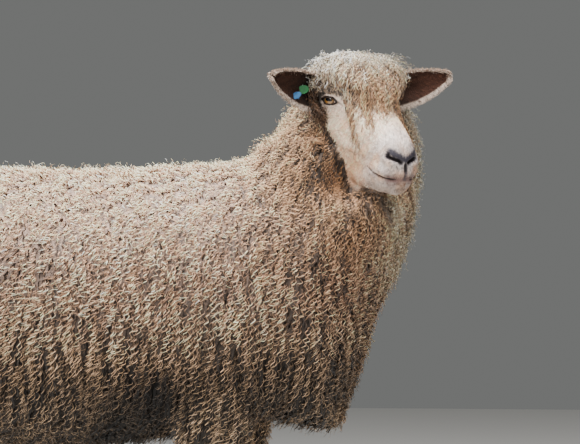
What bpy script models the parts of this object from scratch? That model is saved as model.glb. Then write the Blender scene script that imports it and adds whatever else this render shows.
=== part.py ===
"""A life-size longwool ewe, standing square with her head turned to her right.

The flesh and fleece are lofted limb by limb, fused into one body, reduced to facets and parted
by thin plates into trunk, neck, head, tail and legs. Ears, eyes, claws and ear tags are pieces
of their own. Units are metres, +X is forwards, +Y is the animal's left and +Z is up.
"""

import math

import bmesh
import bpy
import numpy as np
from mathutils import Matrix, Vector

# ---------------------------------------------------------------- driving dimensions

FIT_GAP = 0.0004  # air between pieces that touch
EAR_GAP = 0.0008  # the same where an ear leaves the head
RING_SIDES = 40  # points round each lofted ring
RINGS_PER_SPAN = 6  # rings lofted from one station to the next
FUSE_VOXEL = 0.0075  # cell that fuses the lofts into one skin
FACE_VOXEL = 0.0045  # finer cell, once the face is added
BODY_TRIANGLES = 3650  # facets of the whole fused body, before it is parted
TAIL_TRIANGLES = 240

HEAD_CENTRE = Vector((0.138, -0.050, 0.897))  # between the eyes, on the face axis
HEAD_TURN = math.radians(-51)  # heading of the face, from straight ahead
HEAD_DROP = math.radians(35)  # the face axis below the horizontal
HEAD_TILT = math.radians(1.5)  # left side up

EYE_RADIUS = 0.0160
EYE_PLACE = Vector((-0.013, 0.0515, -0.008))  # left eye, in the head's own frame

EAR_ROOT = Vector((-0.062, 0.050, -0.020))  # left ear, in the head's own frame
EAR_TIP = Vector((-0.029, 0.190, 0.037))
EAR_FACING = Vector((0.82, 0.10, 0.57))  # where the ear's hollow side looks
EAR_WIDTH = 0.076
EAR_CUP = 0.020  # how far the ear's edges curl forwards at its root
EAR_THICK = 0.0055
LOWER_SPREAD, UPPER_SPREAD = 1.12, 0.62  # the ear's lower edge is the fuller one

TAG_STUD = 0.003  # radius of the stud that holds an ear tag
TAG_THICK = 0.0018
# The tags in the right ear, as if on a left ear: colour, place, facing, length and width, turn.
EAR_TAGS = (
    ("green", Vector((-0.0443, 0.1000, -0.0064)), Vector((0.73, 0.35, 0.58)), (0.021, 0.016), 0.5),
    ("blue", Vector((-0.0260, 0.1220, -0.0090)), Vector((0.50, 0.40, 0.77)), (0.020, 0.012), 0.9),
)

FORE_X, HIND_X = -0.125, -0.800  # where the legs stand, before centring
FORE_Y, HIND_Y = 0.100, 0.108
LIMB_INSIDE = 0.014  # how far from the middle plane a leg's inner side is parted
LIMB_MARGIN = 0.018  # how far outside a leg's own outline it is parted
KNEE_Z, HOCK_Z = 0.178, 0.222  # where the lower legs are parted from the upper ones
CLAW_LENGTH = 0.062
CLAW_WIDTH = 0.0275
CLAW_HEIGHT = 0.042
CLAW_HEEL = 0.004  # the heel, ahead of where the leg stands
DEWCLAW_RADIUS = 0.0085
DEWCLAW_Z = 0.083

# Planes that part the neck from the head and the trunk: a point and the way up the neck.
HEAD_PLANE = (Vector((0.070, -0.040, 0.795)), Vector((0.402, -0.496, 0.770)))
NECK_PLANE = (Vector((0.050, 0.000, 0.650)), Vector((0.775, 0.000, 0.633)))

# ---------------------------------------------------------------- colours

COLOURS = {
    "fleece": ((0.62, 0.50, 0.40), 0.90),
    "hair": ((0.74, 0.66, 0.60), 0.75),
    "ear_skin": ((0.20, 0.12, 0.09), 0.80),
    "eye": ((0.36, 0.18, 0.05), 0.10),
    "claw": ((0.06, 0.05, 0.045), 0.45),
    "tag_green": ((0.05, 0.42, 0.12), 0.35),
    "tag_blue": ((0.02, 0.30, 0.45), 0.35),
}


def material(name):
    found = bpy.data.materials.get(name)
    if found:
        return found
    colour, roughness = COLOURS[name]
    made = bpy.data.materials.new(name)
    made.use_nodes = True
    shader = made.node_tree.nodes["Principled BSDF"]
    shader.inputs["Base Color"].default_value = (*colour, 1)
    shader.inputs["Roughness"].default_value = roughness
    made.diffuse_color = (*colour, 1)
    return made


# ---------------------------------------------------------------- stations

# Each row is one station of a loft: its centre x, y, z, its half width, its reach on the
# dorsal and ventral sides, and the turn of its width about +Z in degrees.
TRUNK = (
    (-0.944, 0, 0.575, 0.060, 0.060, 0.060, 0),
    (-0.928, 0, 0.568, 0.135, 0.128, 0.134, 0),
    (-0.872, 0, 0.552, 0.194, 0.206, 0.204, 0),
    (-0.760, 0, 0.540, 0.225, 0.242, 0.235, 0),
    (-0.600, 0, 0.528, 0.243, 0.255, 0.250, 0),
    (-0.440, 0, 0.525, 0.250, 0.255, 0.262, 0),
    (-0.290, 0, 0.530, 0.242, 0.250, 0.252, 0),
    (-0.150, 0, 0.540, 0.226, 0.248, 0.238, 0),
    (-0.030, 0, 0.535, 0.208, 0.250, 0.228, 0),
    (0.050, 0, 0.505, 0.184, 0.232, 0.200, 0),
    (0.086, 0, 0.505, 0.160, 0.195, 0.186, 0),
    (0.108, 0, 0.505, 0.136, 0.160, 0.150, 0),
    (0.128, 0, 0.505, 0.106, 0.115, 0.098, 0),
    (0.145, 0, 0.505, 0.062, 0.065, 0.052, 0),
    (0.153, 0, 0.505, 0.026, 0.026, 0.022, 0),
)
NECK = (
    (-0.060, 0.000, 0.520, 0.185, 0.200, 0.190, 0),
    (0.008, 0.000, 0.620, 0.170, 0.190, 0.182, -8),
    (0.070, 0.020, 0.710, 0.160, 0.172, 0.162, -20),
    (0.103, 0.052, 0.790, 0.150, 0.160, 0.115, -34),
    (0.100, 0.046, 0.865, 0.132, 0.118, 0.080, -46),
    (0.092, 0.032, 0.925, 0.094, 0.068, 0.048, -46),
    (0.088, 0.020, 0.955, 0.050, 0.035, 0.030, -46),
)
TAIL = (
    (-0.840, 0, 0.716, 0.040, 0.026, 0.040, 0),
    (-0.885, 0, 0.700, 0.052, 0.034, 0.050, 0),
    (-0.918, 0, 0.652, 0.060, 0.036, 0.058, 0),
    (-0.932, 0, 0.592, 0.062, 0.034, 0.056, 0),
    (-0.934, 0, 0.530, 0.054, 0.030, 0.046, 0),
    (-0.930, 0, 0.482, 0.028, 0.018, 0.024, 0),
)

# The face, in the head's own frame: +X runs from between the eyes to the nose, +Z is dorsal.
# x, middle z, half width, dorsal reach, ventral reach, how far the section leans back, and how
# much narrower it is at its top.
FACE = (
    (-0.090, -0.020, 0.052, 0.066, 0.080, 0.00, 0.00),
    (-0.055, -0.012, 0.063, 0.072, 0.112, 0.00, 0.00),
    (-0.020, -0.005, 0.0650, 0.067, 0.132, 0.00, 0.02),
    (0.010, -0.005, 0.0600, 0.061, 0.136, 0.00, 0.06),
    (0.040, -0.008, 0.0560, 0.056, 0.135, 0.00, 0.18),
    (0.075, -0.012, 0.0490, 0.050, 0.127, 0.02, 0.30),
    (0.110, -0.018, 0.0430, 0.048, 0.104, 0.05, 0.30),
    (0.140, -0.024, 0.0405, 0.047, 0.078, 0.10, 0.20),
    (0.165, -0.029, 0.0370, 0.043, 0.056, 0.15, 0.08),
    (0.182, -0.033, 0.0280, 0.031, 0.042, 0.18, 0.00),
    (0.192, -0.037, 0.0130, 0.016, 0.021, 0.18, 0.00),
)

# The jaw's place against the neck's wool, in the head's frame: where, how wide, and the push.
JAW_HOLLOW = Vector((0.112, 0.060, -0.082))
JAW_REACH = 0.044
JAW_PUSH = Vector((-0.025, -0.019, -0.040))

# The wool over the poll and forehead, as above.
TOPKNOT = (
    (-0.115, -0.016, 0.045, 0.040, 0.050, 0, 0),
    (-0.085, -0.012, 0.085, 0.062, 0.074, 0, 0),
    (-0.045, 0.008, 0.102, 0.063, 0.040, 0, 0),
    (-0.012, 0.038, 0.093, 0.040, 0.012, 0, 0),
    (0.022, 0.046, 0.072, 0.028, 0.014, 0, 0),
    (0.050, 0.044, 0.052, 0.021, 0.014, 0, 0),
    (0.075, 0.036, 0.032, 0.014, 0.010, 0, 0),
    (0.090, 0.031, 0.014, 0.008, 0.008, 0, 0),
)

# A leg from the trunk to the hoof: height, x and y from where it stands, half width, then
# reach to the front and to the back.
FORE_LEG = (
    (0.500, 0.030, 0.020, 0.072, 0.095, 0.100),
    (0.420, 0.010, 0.015, 0.074, 0.088, 0.090),
    (0.350, 0.003, 0.006, 0.070, 0.080, 0.082),
    (0.285, 0.000, 0.000, 0.062, 0.070, 0.072),
    (0.230, 0.000, 0.000, 0.050, 0.055, 0.056),
    (0.180, 0.000, 0.000, 0.034, 0.037, 0.038),
    (0.140, 0.000, 0.000, 0.023, 0.024, 0.026),
    (0.095, 0.000, 0.000, 0.026, 0.024, 0.030),
    (0.060, 0.013, 0.000, 0.024, 0.022, 0.024),
    (0.040, 0.024, 0.000, 0.029, 0.028, 0.030),
)
HIND_LEG = (
    (0.560, 0.065, 0.012, 0.080, 0.130, 0.120),
    (0.460, 0.055, 0.015, 0.080, 0.118, 0.108),
    (0.380, 0.032, 0.010, 0.068, 0.092, 0.080),
    (0.310, 0.005, 0.004, 0.054, 0.066, 0.062),
    (0.255, -0.018, 0.000, 0.043, 0.047, 0.050),
    (0.200, -0.020, 0.000, 0.034, 0.036, 0.037),
    (0.150, -0.014, 0.000, 0.024, 0.024, 0.028),
    (0.095, -0.006, 0.000, 0.026, 0.024, 0.030),
    (0.060, 0.008, 0.000, 0.024, 0.022, 0.024),
    (0.040, 0.020, 0.000, 0.029, 0.028, 0.030),
)


def between(rows, steps=RINGS_PER_SPAN):
    """The rows with steps - 1 more worked out between each two, on a Catmull-Rom curve."""
    rows = np.array(rows, float)
    ends = np.vstack([2 * rows[0] - rows[1], rows, 2 * rows[-1] - rows[-2]])
    filled = []
    for i in range(len(rows) - 1):
        before, start, end, after = ends[i : i + 4]
        for t in np.arange(steps) / steps:
            filled.append(
                0.5
                * (
                    2 * start
                    + (end - before) * t
                    + (2 * before - 5 * start + 4 * end - after) * t**2
                    + (3 * start - before - 3 * end + after) * t**3
                )
            )
    return np.array(filled + [rows[-1]])


# ---------------------------------------------------------------- mesh tools


def show(name, mesh, finish):
    """A new object in the scene, shaded smooth except across sharp edges."""
    made = bpy.data.objects.new(name, mesh)
    bpy.context.scene.collection.objects.link(made)
    mesh.materials.clear()
    mesh.materials.append(material(finish))
    mesh.shade_smooth()
    mesh.set_sharp_from_angle(angle=math.radians(50))
    return made


def evaluated(made):
    """The object's mesh with its modifiers applied, in world space. The object is removed."""
    bpy.context.view_layer.update()
    graph = bpy.context.evaluated_depsgraph_get()
    mesh = bpy.data.meshes.new_from_object(made.evaluated_get(graph))
    mesh.transform(made.matrix_world)
    bpy.data.objects.remove(made)
    return mesh


def ring(centre, side, dorsal, width, top, bottom, squareness=2.3, pinch=0.0):
    """Points of a superellipse whose dorsal and ventral halves differ, pinched in at its top."""
    points = []
    for i in range(RING_SIDES):
        angle = 2 * math.pi * i / RING_SIDES
        across, up = math.cos(angle), math.sin(angle)
        across = math.copysign(abs(across) ** (2 / squareness), across)
        up = math.copysign(abs(up) ** (2 / squareness), up)
        across *= width * (1 - pinch * max(up, 0))
        points.append(centre + side * across + dorsal * up * (top if up > 0 else bottom))
    return points


def skinned(rings):
    """A closed mesh over a list of rings."""
    mesh = bmesh.new()
    loops = [[mesh.verts.new(p) for p in points] for points in rings]
    for near, far in zip(loops, loops[1:]):
        for i in range(RING_SIDES):
            j = (i + 1) % RING_SIDES
            mesh.faces.new((near[i], near[j], far[j], far[i]))
    for loop in (loops[0], loops[-1]):
        middle = mesh.verts.new(sum((v.co for v in loop), Vector()) / RING_SIDES)
        for i in range(RING_SIDES):
            mesh.faces.new((loop[i], loop[(i + 1) % RING_SIDES], middle))
    bmesh.ops.recalc_face_normals(mesh, faces=mesh.faces)
    return mesh


def loft(stations):
    """A limb lofted along its own path, from rows of centre, half width, reaches and turn."""
    rows = between(stations)
    centres = [Vector(row[:3]) for row in rows]
    rings = []
    for i, row in enumerate(rows):
        along = (centres[min(i + 1, len(rows) - 1)] - centres[max(i - 1, 0)]).normalized()
        turn = math.radians(row[6])
        side = Vector((-math.sin(turn), math.cos(turn), 0))
        side = (side - along * side.dot(along)).normalized()
        rings.append(ring(centres[i], side, along.cross(side), *row[3:6]))
    return skinned(rings)


def head_loft(stations, squareness=2.4):
    """A form lofted straight along the head's axis, in the head's own frame."""
    rings = []
    for x, middle, width, top, bottom, lean, pinch in between(stations):
        centre, dorsal = Vector((x, 0, middle)), Vector((-lean, 0, 1))
        rings.append(ring(centre, Vector((0, 1, 0)), dorsal, width, top, bottom, squareness, pinch))
    return skinned(rings)


def joined(forms):
    """One mesh that holds every form given, still overlapping."""
    whole = bmesh.new()
    for form in forms:
        mesh = bpy.data.meshes.new("form")
        form.to_mesh(mesh)
        form.free()
        whole.from_mesh(mesh)
        bpy.data.meshes.remove(mesh)
    return whole


def fused(forms, voxel, smoothing, name="fusing"):
    """Overlapping closed forms made one skin, with their joints smoothed over."""
    mesh = bpy.data.meshes.new(name)
    whole = joined(forms)
    whole.to_mesh(mesh)
    whole.free()
    made = show(name, mesh, "fleece")
    remesh = made.modifiers.new("fuse", "REMESH")
    remesh.mode = "VOXEL"
    remesh.voxel_size = voxel
    if smoothing:
        smooth = made.modifiers.new("blend", "SMOOTH")
        smooth.factor = 0.5
        smooth.iterations = smoothing
    result = bmesh.new()
    result.from_mesh(evaluated(made))
    return result


# ---------------------------------------------------------------- head frame

HEAD_FRAME = (
    Matrix.Translation(HEAD_CENTRE)
    @ Matrix.Rotation(HEAD_TURN, 4, "Z")
    @ Matrix.Rotation(HEAD_DROP, 4, "Y")
    @ Matrix.Rotation(HEAD_TILT, 4, "X")
)


# ---------------------------------------------------------------- cutting


def meshed(form):
    """A form's mesh data. The form is freed."""
    mesh = bpy.data.meshes.new("form")
    form.to_mesh(mesh)
    form.free()
    return mesh


def grown(mesh, gap=FIT_GAP):
    """A copy of a closed mesh, larger by the gap on every side."""
    form = bmesh.new()
    form.from_mesh(mesh)
    form.normal_update()
    moved = [v.co + v.normal * v.calc_shell_factor() * gap for v in form.verts]
    for vertex, place in zip(form.verts, moved):
        vertex.co = place
    return meshed(form)


def cut(mesh, cutter, operation="DIFFERENCE"):
    """The mesh less the cutter, or what the two share, or both as one."""
    made = show("cutting", mesh.copy(), "fleece")
    tool = show("cutter", cutter.copy(), "fleece")
    boolean = made.modifiers.new("cut", "BOOLEAN")
    boolean.operation = operation
    boolean.solver = "EXACT"
    boolean.object = tool
    result = evaluated(made)
    bpy.data.objects.remove(tool)
    return result


def parted(mesh, cutter):
    """What lies inside the cutter, and what lies outside it past a gap."""
    return cut(mesh, cutter, "INTERSECT"), cut(mesh, grown(cutter))


def slab(point, normal, size=1.0):
    """A large box on the far side of a plane, where its normal points."""
    form = bmesh.new()
    bmesh.ops.create_cube(form, size=size)
    turn = normal.to_track_quat("Z", "Y").to_matrix().to_4x4()
    form.transform(Matrix.Translation(point) @ turn @ Matrix.Translation((0, 0, size / 2)))
    return meshed(form)


def reduced(mesh, triangles):
    """The mesh in about so many triangles, most of them where it curves most."""
    made = show("reducing", mesh, "fleece")
    mesh.calc_loop_triangles()
    decimate = made.modifiers.new("facets", "DECIMATE")
    decimate.ratio = triangles / len(mesh.loop_triangles)
    decimate.use_collapse_triangulate = True
    return evaluated(made)


# ---------------------------------------------------------------- pieces


def leg_rows(stations, x, y, side):
    """A leg's stations as loft() takes them, on side +1 for left or -1 for right."""
    return [
        (x + forward, side * (y + out), height, width, front, back, 0)
        for height, forward, out, width, front, back in stations
    ]


def press_in(form):
    """Soft hollows pressed into the neck's wool on both sides, where the jaw lies against it."""
    to_head, from_head = HEAD_FRAME.inverted(), HEAD_FRAME.to_3x3()
    for side in (1, -1):
        mirror = Matrix.Diagonal((1, side, 1))
        place, push = mirror @ JAW_HOLLOW, from_head @ (mirror @ JAW_PUSH)
        for vert in form.verts:
            away = (to_head @ vert.co - place).length / JAW_REACH
            vert.co += push * math.exp(-away * away)


def body():
    """The whole animal in its fleece, without ears, eyes and claws, as one closed skin."""
    topknot = head_loft(TOPKNOT)
    topknot.transform(HEAD_FRAME)
    legs = [
        loft(leg_rows(stations, x, y, side))
        for stations, x, y in ((FORE_LEG, FORE_X, FORE_Y), (HIND_LEG, HIND_X, HIND_Y))
        for side in (1, -1)
    ]
    fleece = fused([loft(TRUNK), loft(NECK), topknot, *legs], FUSE_VOXEL, 14)
    press_in(fleece)
    face = head_loft(FACE)
    face.transform(HEAD_FRAME)
    return reduced(meshed(fused([fleece, face], FACE_VOXEL, 3, "body")), BODY_TRIANGLES)


def limb_cutter(stations, x, side, outside=0.32, arc=7):
    """A leg's outline seen from the side, wider by a margin, run from inside it outwards."""
    front = [(x + row[1] + row[4] + LIMB_MARGIN, row[0]) for row in stations]
    back = [(x + row[1] - row[5] - LIMB_MARGIN, row[0]) for row in stations]
    middle, reach = (front[0][0] + back[0][0]) / 2, (front[0][0] - back[0][0]) / 2
    crown = [
        (middle - reach * math.cos(math.pi * i / arc), front[0][1] + 0.6 * reach * math.sin(math.pi * i / arc))
        for i in range(1, arc)
    ]
    foot = [(front[-1][0] + LIMB_MARGIN, -0.01), (back[-1][0] - LIMB_MARGIN, -0.01)]
    outline = back[::-1] + crown + front + foot
    form = bmesh.new()
    near = [form.verts.new((px, side * LIMB_INSIDE, pz)) for px, pz in outline]
    far = [form.verts.new((px, side * outside, pz)) for px, pz in outline]
    form.faces.new(near)
    form.faces.new(far[::-1])
    for i in range(len(outline)):
        j = (i + 1) % len(outline)
        form.faces.new((near[i], near[j], far[j], far[i]))
    bmesh.ops.recalc_face_normals(form, faces=form.faces)
    return meshed(form)


def ear(side, across=6, along=8):
    """An ear as a cupped leaf, from its root in the head to its rounded tip."""
    mirror = Matrix.Diagonal((1, side, 1))
    root, tip, facing = (mirror @ v for v in (EAR_ROOT, EAR_TIP, EAR_FACING))
    out = (tip - root).normalized()
    facing = (facing - out * facing.dot(out)).normalized()
    breadth = out.cross(facing)
    form = bmesh.new()
    rows = []
    for i in range(along + 1):
        u = 0.985 * math.sin(0.5 * math.pi * i / along)
        half = 0.5 * EAR_WIDTH * (1 - u**2.4) ** 0.6 * (0.78 + 0.9 * u * (1 - u))
        row = []
        for j in range(across + 1):
            v = 2 * j / across - 1
            curl = EAR_CUP * (1 - 0.75 * u) * v * v
            spread = v * (LOWER_SPREAD if v * side > 0 else UPPER_SPREAD)
            row.append(form.verts.new(root + (tip - root) * u + breadth * half * spread + facing * curl))
        rows.append(row)
    for near, far in zip(rows, rows[1:]):
        for j in range(across):
            form.faces.new((near[j], near[j + 1], far[j + 1], far[j]))
    form.transform(HEAD_FRAME)
    made = show("leaf", meshed(form), "ear_skin")
    solid = made.modifiers.new("thickness", "SOLIDIFY")
    solid.thickness = EAR_THICK
    solid.offset = 0
    mesh = evaluated(made)
    form = bmesh.new()
    form.from_mesh(mesh)
    bmesh.ops.recalc_face_normals(form, faces=form.faces)
    return meshed(form)


def ball(centre, radius, segments, stretch=(1, 1, 1), frame=Matrix()):
    """A round form, which may be stretched."""
    form = bmesh.new()
    bmesh.ops.create_uvsphere(form, u_segments=segments, v_segments=segments // 2, radius=radius)
    form.transform(frame @ Matrix.Translation(centre) @ Matrix.Diagonal((*stretch, 1)))
    return meshed(form)


def claw(x, y, side):
    """One claw of a hoof: flat on the ground, pointed at the toe, flat on its inner side."""
    form = bmesh.new()
    for height, heel, toe, width in (
        (0, 0, CLAW_LENGTH, CLAW_WIDTH),
        (CLAW_HEIGHT * 0.45, -0.002, CLAW_LENGTH * 0.88, CLAW_WIDTH),
        (CLAW_HEIGHT, 0.000, CLAW_LENGTH * 0.66, CLAW_WIDTH * 0.92),
    ):
        for share, bulge in ((0, 0.45), (0.10, 0.82), (0.32, 1), (0.60, 0.93), (0.85, 0.60), (1, 0.22)):
            along = heel + (toe - heel) * share
            for across in (0.0005, width * bulge):
                form.verts.new((x + CLAW_HEEL + along, y + side * across, height))
    bmesh.ops.convex_hull(form, input=form.verts)
    bmesh.ops.recalc_face_normals(form, faces=form.faces)
    return meshed(form)


def tag(ear_side, place, facing, size, tilt):
    """An ear tag: a leaf in front of the ear, a stud through it and a button behind."""
    length, width = size
    pieces = []
    for depth, radii in ((0.0052, (length / 2, width / 2)), (-0.0052, (0.006, 0.006))):
        form = bmesh.new()
        bmesh.ops.create_cone(form, cap_ends=True, segments=12, radius1=1, radius2=1, depth=TAG_THICK)
        form.transform(Matrix.Translation((0, 0, depth)) @ Matrix.Diagonal((*radii, 1, 1)))
        pieces.append(meshed(form))
    form = bmesh.new()
    bmesh.ops.create_cone(
        form, cap_ends=True, segments=8, radius1=TAG_STUD, radius2=TAG_STUD, depth=0.0104
    )
    pieces.append(meshed(form))
    whole = cut(cut(pieces[0], pieces[2], "UNION"), pieces[1], "UNION")
    mirror = Matrix.Diagonal((1, ear_side, 1))
    centre, facing = mirror @ place, mirror @ facing
    turn = facing.to_track_quat("Z", "Y").to_matrix().to_4x4() @ Matrix.Rotation(tilt, 4, "Z")
    whole.transform(HEAD_FRAME @ Matrix.Translation(centre) @ turn)
    return whole


# ---------------------------------------------------------------- the ewe


def build():
    """Every node's mesh and finish."""
    nodes = {}
    whole = body()
    head, rest = parted(whole, slab(*HEAD_PLANE))
    neck, trunk = parted(rest, slab(*NECK_PLANE))
    for end, stations, x, y, joint in (
        ("fore", FORE_LEG, FORE_X, FORE_Y, KNEE_Z),
        ("hind", HIND_LEG, HIND_X, HIND_Y, HOCK_Z),
    ):
        for side, hand in ((1, "left"), (-1, "right")):
            leg, trunk = parted(trunk, limb_cutter(stations, x, side))
            upper, lower = parted(leg, slab(Vector((x, side * y, joint)), Vector((0, 0, 1))))
            sole_side = slab(Vector((x, side * y, CLAW_HEIGHT + FIT_GAP)), Vector((0, 0, -1)))
            lower = cut(lower, sole_side)
            for turn, place in ((1, "outer"), (-1, "inner")):
                name = f"{end}_{hand}_{place}"
                nodes[f"claw_{name}"] = claw(x, side * y, side * turn), "claw"
                centre = Vector((x - 0.028, side * (y + turn * 0.013), DEWCLAW_Z))
                dewclaw = ball(centre, DEWCLAW_RADIUS, 8, (0.9, 0.8, 1.25))
                lower = cut(lower, grown(dewclaw))
                nodes[f"dewclaw_{name}"] = dewclaw, "claw"
            nodes[f"leg_{end}_{hand}"] = upper, "fleece"
            nodes[f"shank_{end}_{hand}"] = lower, "hair"
    tail = reduced(meshed(loft(TAIL)), TAIL_TRIANGLES)
    nodes["tail"] = tail, "fleece"
    nodes["trunk"] = cut(trunk, grown(tail)), "fleece"
    nodes["neck"] = neck, "fleece"
    for side, hand in ((1, "left"), (-1, "right")):
        centre = Vector((EYE_PLACE.x, side * EYE_PLACE.y, EYE_PLACE.z))
        eye = ball(centre, EYE_RADIUS, 14, frame=HEAD_FRAME)
        leaf = cut(ear(side), grown(head, EAR_GAP))
        head = cut(head, grown(eye))
        if hand == "right":
            for colour, *fitting in EAR_TAGS:
                badge = tag(side, *fitting)
                leaf, head = cut(leaf, grown(badge)), cut(head, grown(badge))
                nodes[f"tag_{colour}"] = badge, f"tag_{colour}"
        nodes[f"eye_{hand}"] = eye, "eye"
        nodes[f"ear_{hand}"] = leaf, "ear_skin"
    nodes["head"] = head, "hair"
    return nodes


def main():
    for old in list(bpy.data.objects):
        bpy.data.objects.remove(old)
    ewe = bpy.data.objects.new("ewe", None)
    bpy.context.scene.collection.objects.link(ewe)
    low, high = np.full(3, np.inf), np.full(3, -np.inf)
    for name, (mesh, finish) in build().items():
        piece = show(name, mesh, finish)
        piece.parent = ewe
        corners = np.array([v.co for v in mesh.vertices])
        low, high = np.minimum(low, corners.min(axis=0)), np.maximum(high, corners.max(axis=0))
    middle = (low + high) / 2
    ewe.location = (-middle[0], -middle[1], -low[2])


main()
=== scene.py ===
"""The looks of a life-size longwool ewe: one skin, a full fleece of crimped locks, eyes, ears,
claws and ear tags, on a plain pale floor under soft studio light.

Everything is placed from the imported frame. The head has a frame of its own between the eyes:
+X runs to the nose, +Y to the animal's left and +Z is dorsal. Lengths are metres.
"""

import math  # noqa: E402

import bmesh  # noqa: E402
import bpy  # noqa: E402
import numpy as np  # noqa: E402
from mathutils import Matrix, Vector  # noqa: E402
from mathutils.bvhtree import BVHTree  # noqa: E402
from mathutils.kdtree import KDTree  # noqa: E402


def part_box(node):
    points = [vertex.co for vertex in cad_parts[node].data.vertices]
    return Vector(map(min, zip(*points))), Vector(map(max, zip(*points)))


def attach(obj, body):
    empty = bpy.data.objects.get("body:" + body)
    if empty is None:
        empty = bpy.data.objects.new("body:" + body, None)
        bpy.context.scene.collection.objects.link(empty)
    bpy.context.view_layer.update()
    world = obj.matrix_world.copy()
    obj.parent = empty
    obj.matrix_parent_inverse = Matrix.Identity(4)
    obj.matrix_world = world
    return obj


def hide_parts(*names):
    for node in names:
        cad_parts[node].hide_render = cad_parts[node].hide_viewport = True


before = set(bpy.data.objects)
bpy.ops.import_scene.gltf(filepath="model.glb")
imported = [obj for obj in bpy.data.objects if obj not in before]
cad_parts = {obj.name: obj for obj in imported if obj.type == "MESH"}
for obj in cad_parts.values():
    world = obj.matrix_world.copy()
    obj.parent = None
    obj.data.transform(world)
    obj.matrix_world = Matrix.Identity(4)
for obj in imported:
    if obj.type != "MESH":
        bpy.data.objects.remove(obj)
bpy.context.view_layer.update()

# ---------------------------------------------------------------- driving dimensions

SIDES = ((1, "left"), (-1, "right"))
HEAD_TURN = math.radians(-51)
HEAD_DROP = math.radians(35)
HEAD_TILT = math.radians(1.5)
EYE_PLACE = Vector((-0.013, 0.0515, -0.008))  # left eye, in the head's frame
EYE_RADIUS = 0.0160
EYE_GAZE = Vector((0.40, 0.885, 0.22))  # where the left eye looks

BODY_VOXEL = 0.007
BODY_SMOOTHING, SKIN_SMOOTHING = 10, 3  # rounds of smoothing after a remesh
WOOL_DEPTH = 0.018  # from the skin to the tips of the wool
LEG_DEPTH = 0.013
TAIL_DEPTH = 0.012
FACE_DEPTH = 0.013  # of the body's skin under the face, which has a finer form of its own
HAIR_DEPTH = 0.0022  # the same where the coat is short
WELD_GAP = 1e-6
FLESH_GAP = 0.0006  # which the flesh nodes grow by, to close the cuts between them
SHANK_VOXEL = 0.003
SHANK_INSET = 0.0004
SHANK_SUNK = 0.012  # how far the shanks' own skin sinks in under the wool, at the knee or hock
DEWCLAW_GAP = 0.0008  # by which the flesh at a dewclaw's root is larger than the claw
DEWCLAW_FLESH = Vector((0.0065, 0, 0.0010))  # from the claw to the middle of that flesh

# The face as in the CAD: x, middle z, half width, dorsal and ventral reach, lean back, pinch.
FACE = (
    (-0.090, -0.020, 0.052, 0.066, 0.080, 0.00, 0.00),
    (-0.055, -0.012, 0.063, 0.072, 0.112, 0.00, 0.00),
    (-0.020, -0.005, 0.0650, 0.067, 0.132, 0.00, 0.02),
    (0.010, -0.005, 0.0600, 0.061, 0.136, 0.00, 0.06),
    (0.040, -0.008, 0.0560, 0.056, 0.135, 0.00, 0.18),
    (0.075, -0.012, 0.0490, 0.050, 0.127, 0.02, 0.30),
    (0.110, -0.018, 0.0430, 0.048, 0.104, 0.05, 0.30),
    (0.140, -0.024, 0.0405, 0.047, 0.078, 0.10, 0.20),
    (0.165, -0.029, 0.0370, 0.043, 0.056, 0.15, 0.08),
    (0.182, -0.033, 0.0280, 0.031, 0.042, 0.18, 0.00),
    (0.192, -0.037, 0.0130, 0.016, 0.021, 0.18, 0.00),
)
FACE_SQUARENESS = 2.4
FACE_SIDES = 340
FACE_STEP = 0.0013
FACE_DOME = 0.0035  # how far the face's rounded end goes past its last row
# Where the wool ends on the head: its forward edge at each height, in the head's frame.
WOOL_EDGE_Z = (
    *(-0.140, -0.128, -0.118, -0.105, -0.091, -0.078, -0.067),
    *(-0.056, -0.045, -0.020, 0.002, 0.014, 0.024, 0.050),
)
WOOL_EDGE_X = (
    *(0.120, 0.088, 0.080, 0.077, 0.070, 0.058, 0.042),
    *(0.010, -0.016, -0.034, -0.028, 0.006, 0.032, 0.040),
)
FAR_FORELOCK = 0.022  # how much further forwards the wool comes on the left of the forehead
RAGGED = 0.006  # how far that edge wanders
UNDER_CHIN = ((0.118, 0.0, -0.128), (0.145, 0.0, -0.116), (0.160, 0.0, -0.112))  # woolly too

# Lines on the left side of the head, in its frame, that the folds and colours follow.
EYE_LINE = EYE_BACK, EYE_FRONT = (-0.0280, 0.0650, -0.0157), (0.0102, 0.0596, 0.0019)
TEAR_LINE = (EYE_FRONT, (0.0180, 0.0585, 0.0036), (0.0256, 0.0574, 0.0045))
NOSTRIL = (
    (0.1652, 0.0306, -0.0058),
    (0.1664, 0.0312, -0.0092),
    (0.1744, 0.0244, -0.0088),
    (0.1804, 0.0134, -0.0096),
    (0.1832, 0.0080, -0.0120),
)
NOSTRIL_WING = ((0.1600, 0.0350, -0.0140), (0.1700, 0.0310, -0.0190), (0.1790, 0.0220, -0.0180))
PHILTRUM = ((0.1854, 0, -0.0151), (0.1900, 0, -0.0250), (0.1930, 0, -0.0390))
MOUTH = (
    (0.1277, 0.0398, -0.0562),
    (0.1468, 0.0380, -0.0556),
    (0.1692, 0.0351, -0.0505),
    (0.1866, 0.0245, -0.0449),
    (0.1924, 0.0060, -0.0400),
    (0.1924, 0.0000, -0.0385),
)
LEATHER = (
    (0.1645, 0.0270, -0.0008),
    (0.1723, 0.0181, -0.0025),
    (0.1789, 0.0077, -0.0060),
    (0.1815, 0.0, -0.0085),
)
# where painted shade darkens the wool in front of the ear's root
TEMPLE_SHADE = ((-0.055, 0.062, 0.000), (-0.040, 0.064, -0.035), (-0.025, 0.062, -0.060))
WHISKERS = (
    (0.1809, 0.0280, -0.0283),
    (0.1809, 0.0246, -0.0198),
    (0.1841, 0.0166, -0.0190),
    (0.1852, 0.0208, -0.0265),
)
BROW = ((-0.034, 0.058, 0.016), (-0.010, 0.058, 0.024), (0.016, 0.053, 0.022))
LID_FOLD = ((-0.028, 0.064, -0.004), (-0.012, 0.063, 0.008), (0.008, 0.059, 0.013))
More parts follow.
